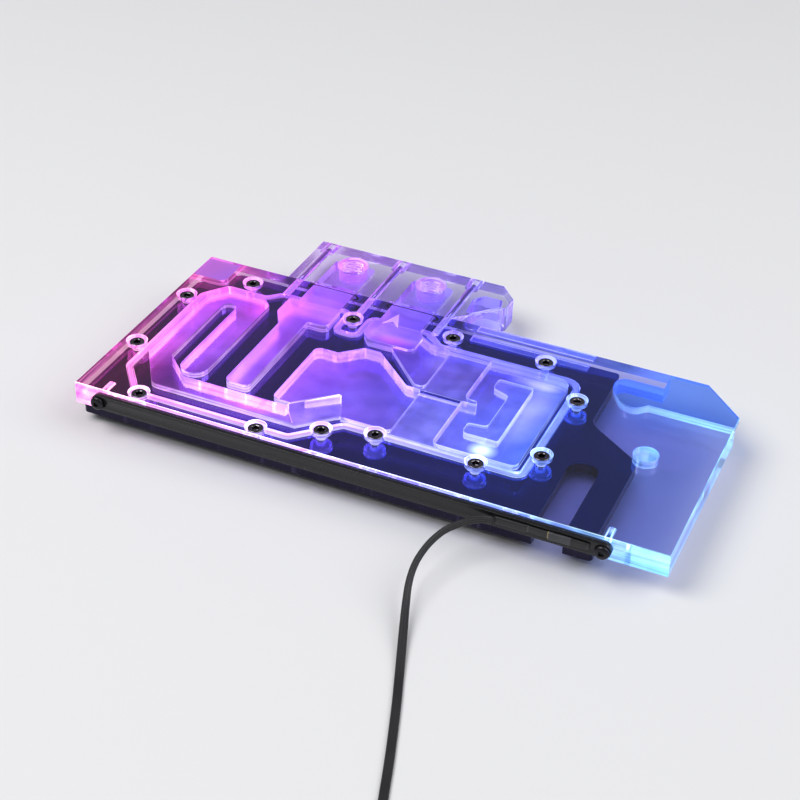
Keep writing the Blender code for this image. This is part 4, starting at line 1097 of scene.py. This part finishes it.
def makeSleeve():
    # rounded sections along X with their backs in one plane, pulled in a little by ripples
    low, high = (np.array(corner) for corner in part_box("lead_joint"))
    shares, depths, heights = np.array(sleeve["steps"]).T
    along = np.unique(np.concatenate((np.linspace(0, 1, sleeve["points"]), shares)))[:, None]
    depth, height = (np.interp(along, shares, sizes) / 2 for sizes in (depths, heights))
    across, up = squareTurn(sleeve["columns"], sleeve["power"])
    ripple = 1 - sleeve["ripple"] * np.sin(along * sleeve["ripples"]) ** 2
    x = low[0] + along * (high[0] - low[0])
    y = high[1] - depth + across * depth * ripple
    z = (low[2] + high[2]) / 2 + up * height * ripple
    grid = np.stack(np.broadcast_arrays(x, y, z), axis=-1)
    addPiece("leadJoint", gridMesh("leadJoint", grid), [sleeveSkin], ("lead_joint",), 50)


makeBar()
makeSleeve()
print("bar, strip and sleeve")


# connector on the lead's end, and the tie round its coil

plug = dict(
    length=0.0178, halfWidth=0.0042, halfHeight=0.00268, middle=0.00285, edge=0.00035,
    columns=40, power=2 / 7.0,
    sockets=3, socketStep=0.00254, socketSize=0.00062, socketDeep=0.0052,
    windowLong=0.0024, windowWide=0.0014, windowDeep=0.0007, windowFrom=0.0095,
    # sections of the strain relief collar: x, half width, half height
    collar=((-0.0046, 0.00185, 0.00085), (-0.0040, 0.00200, 0.00100), (-0.0012, 0.00225, 0.00125),
            (0.0012, 0.00270, 0.00155), (0.0021, 0.00275, 0.00160), (0.0026, 0.00270, 0.00155)),
    collarEnd=0.0022, collarPower=2 / 4.0,
)
tie = dict(
    inner=0.01655, outer=0.0241, low=0.00012, high=0.0034, least=0.00002,
    wide=0.0052, thick=0.00026, overlap=0.00022, overlapTurn=(0.5, 1.9), overlapFade=0.08,
    points=72, power=0.45,
    # its section: share of the half width, share of the half thickness
    section=((-1, 0), (-0.98, 1), (0, 1.08), (0.98, 1), (1, 0), (0.98, -0.1), (0, -0.1), (-0.98, -0.1)),
)


def roundedBox(sections, power):
    # rounded rectangles one after another along +X, each (x, half width, half height)
    across, up = squareTurn(plug["columns"], power)
    rows = [(np.full_like(across, x), across * width, plug["middle"] + up * height)
            for x, width, height in sections]
    return np.stack(rows).transpose(0, 2, 1)


def atLeadEnd(mesh):
    # from a frame along +X to the end of the lead
    ahead = leadLine[-1] - leadLine[-4]
    points = np.array([v.co for v in mesh.vertices]) @ turnedBy(math.atan2(ahead[1], ahead[0]))
    points[:, :2] += leadLine[-1][:2]
    mesh.vertices.foreach_set("co", points.ravel())
    return mesh


def makePlug():
    # the body keeps its half width and height, less a break at each end
    length, width, height = (plug[k] for k in ("length", "halfWidth", "halfHeight"))
    start, middle, edge = plug["collarEnd"], plug["middle"], plug["edge"]
    ends = ((start, edge), (start + edge * 0.3, edge * 0.3), (start + edge, 0),
            (length - edge, 0), (length - edge * 0.3, edge * 0.3), (length, edge))
    sections = [(x, width - less, height - less) for x, less in ends]
    body = gridMesh("leadPlug", roundedBox(sections, plug["power"]))
    half, wide, windowTo = plug["socketSize"], plug["windowWide"] / 2, plug["windowFrom"]
    inside, sill = length - plug["socketDeep"], middle + height - plug["windowDeep"]
    places = (np.arange(plug["sockets"]) - (plug["sockets"] - 1) / 2) * plug["socketStep"]
    holes = [squareBlock((inside, y - half, middle - half), (length + past, y + half, middle + half))
             for y in places]
    above = middle + height + past
    holes += [squareBlock((windowTo - plug["windowLong"], y - wide, sill), (windowTo, y + wide, above))
              for y in places]
    body = reshaped(body, cut(joined("plugHoles", holes)))
    made = addPiece("leadPlug", atLeadEnd(body), [plugBlack], ("led_plug",))
    collar = gridMesh("leadCollar", roundedBox(plug["collar"], plug["collarPower"]))
    return [made, addPiece("leadCollar", atLeadEnd(collar), [collarBlack], (), 50)]


def makeTie():
    # a thin strap carried round the turns of the coil, thicker where its end lies over its start
    turn = np.linspace(0, math.tau, tie["points"], endpoint=False)
    cosines, sines = squareTurn(tie["points"], tie["power"])
    reach = (tie["inner"] + tie["outer"]) / 2 + (tie["outer"] - tie["inner"]) / 2 * cosines
    level = (tie["low"] + tie["high"]) / 2 + (tie["high"] - tie["low"]) / 2 * sines
    outward = unit(np.stack((np.gradient(level), -np.gradient(reach)), axis=-1))
    start, end = tie["overlapTurn"]
    doubled = np.clip(np.minimum(turn - start, end - turn) / tie["overlapFade"], 0, 1) * tie["overlap"]
    across, up = np.array(tie["section"]).T
    lift = up * (tie["thick"] * 0.5 + doubled[:, None])
    radius = reach[:, None] + outward[:, None, 0] * lift
    z = np.maximum(level[:, None] + outward[:, None, 1] * lift, tie["least"])
    strap = np.stack(np.broadcast_arrays(radius, across * tie["wide"] / 2, z), axis=-1)
    grid = strap @ turnedBy(lead["tieTurn"]) + onPlan(*lead["coilMiddle"])
    return addPiece("leadTie", ringMesh("leadTie", grid), [strapWeave], (), 50)


onLead = makePlug() + [makeTie()]
print("plug and tie")
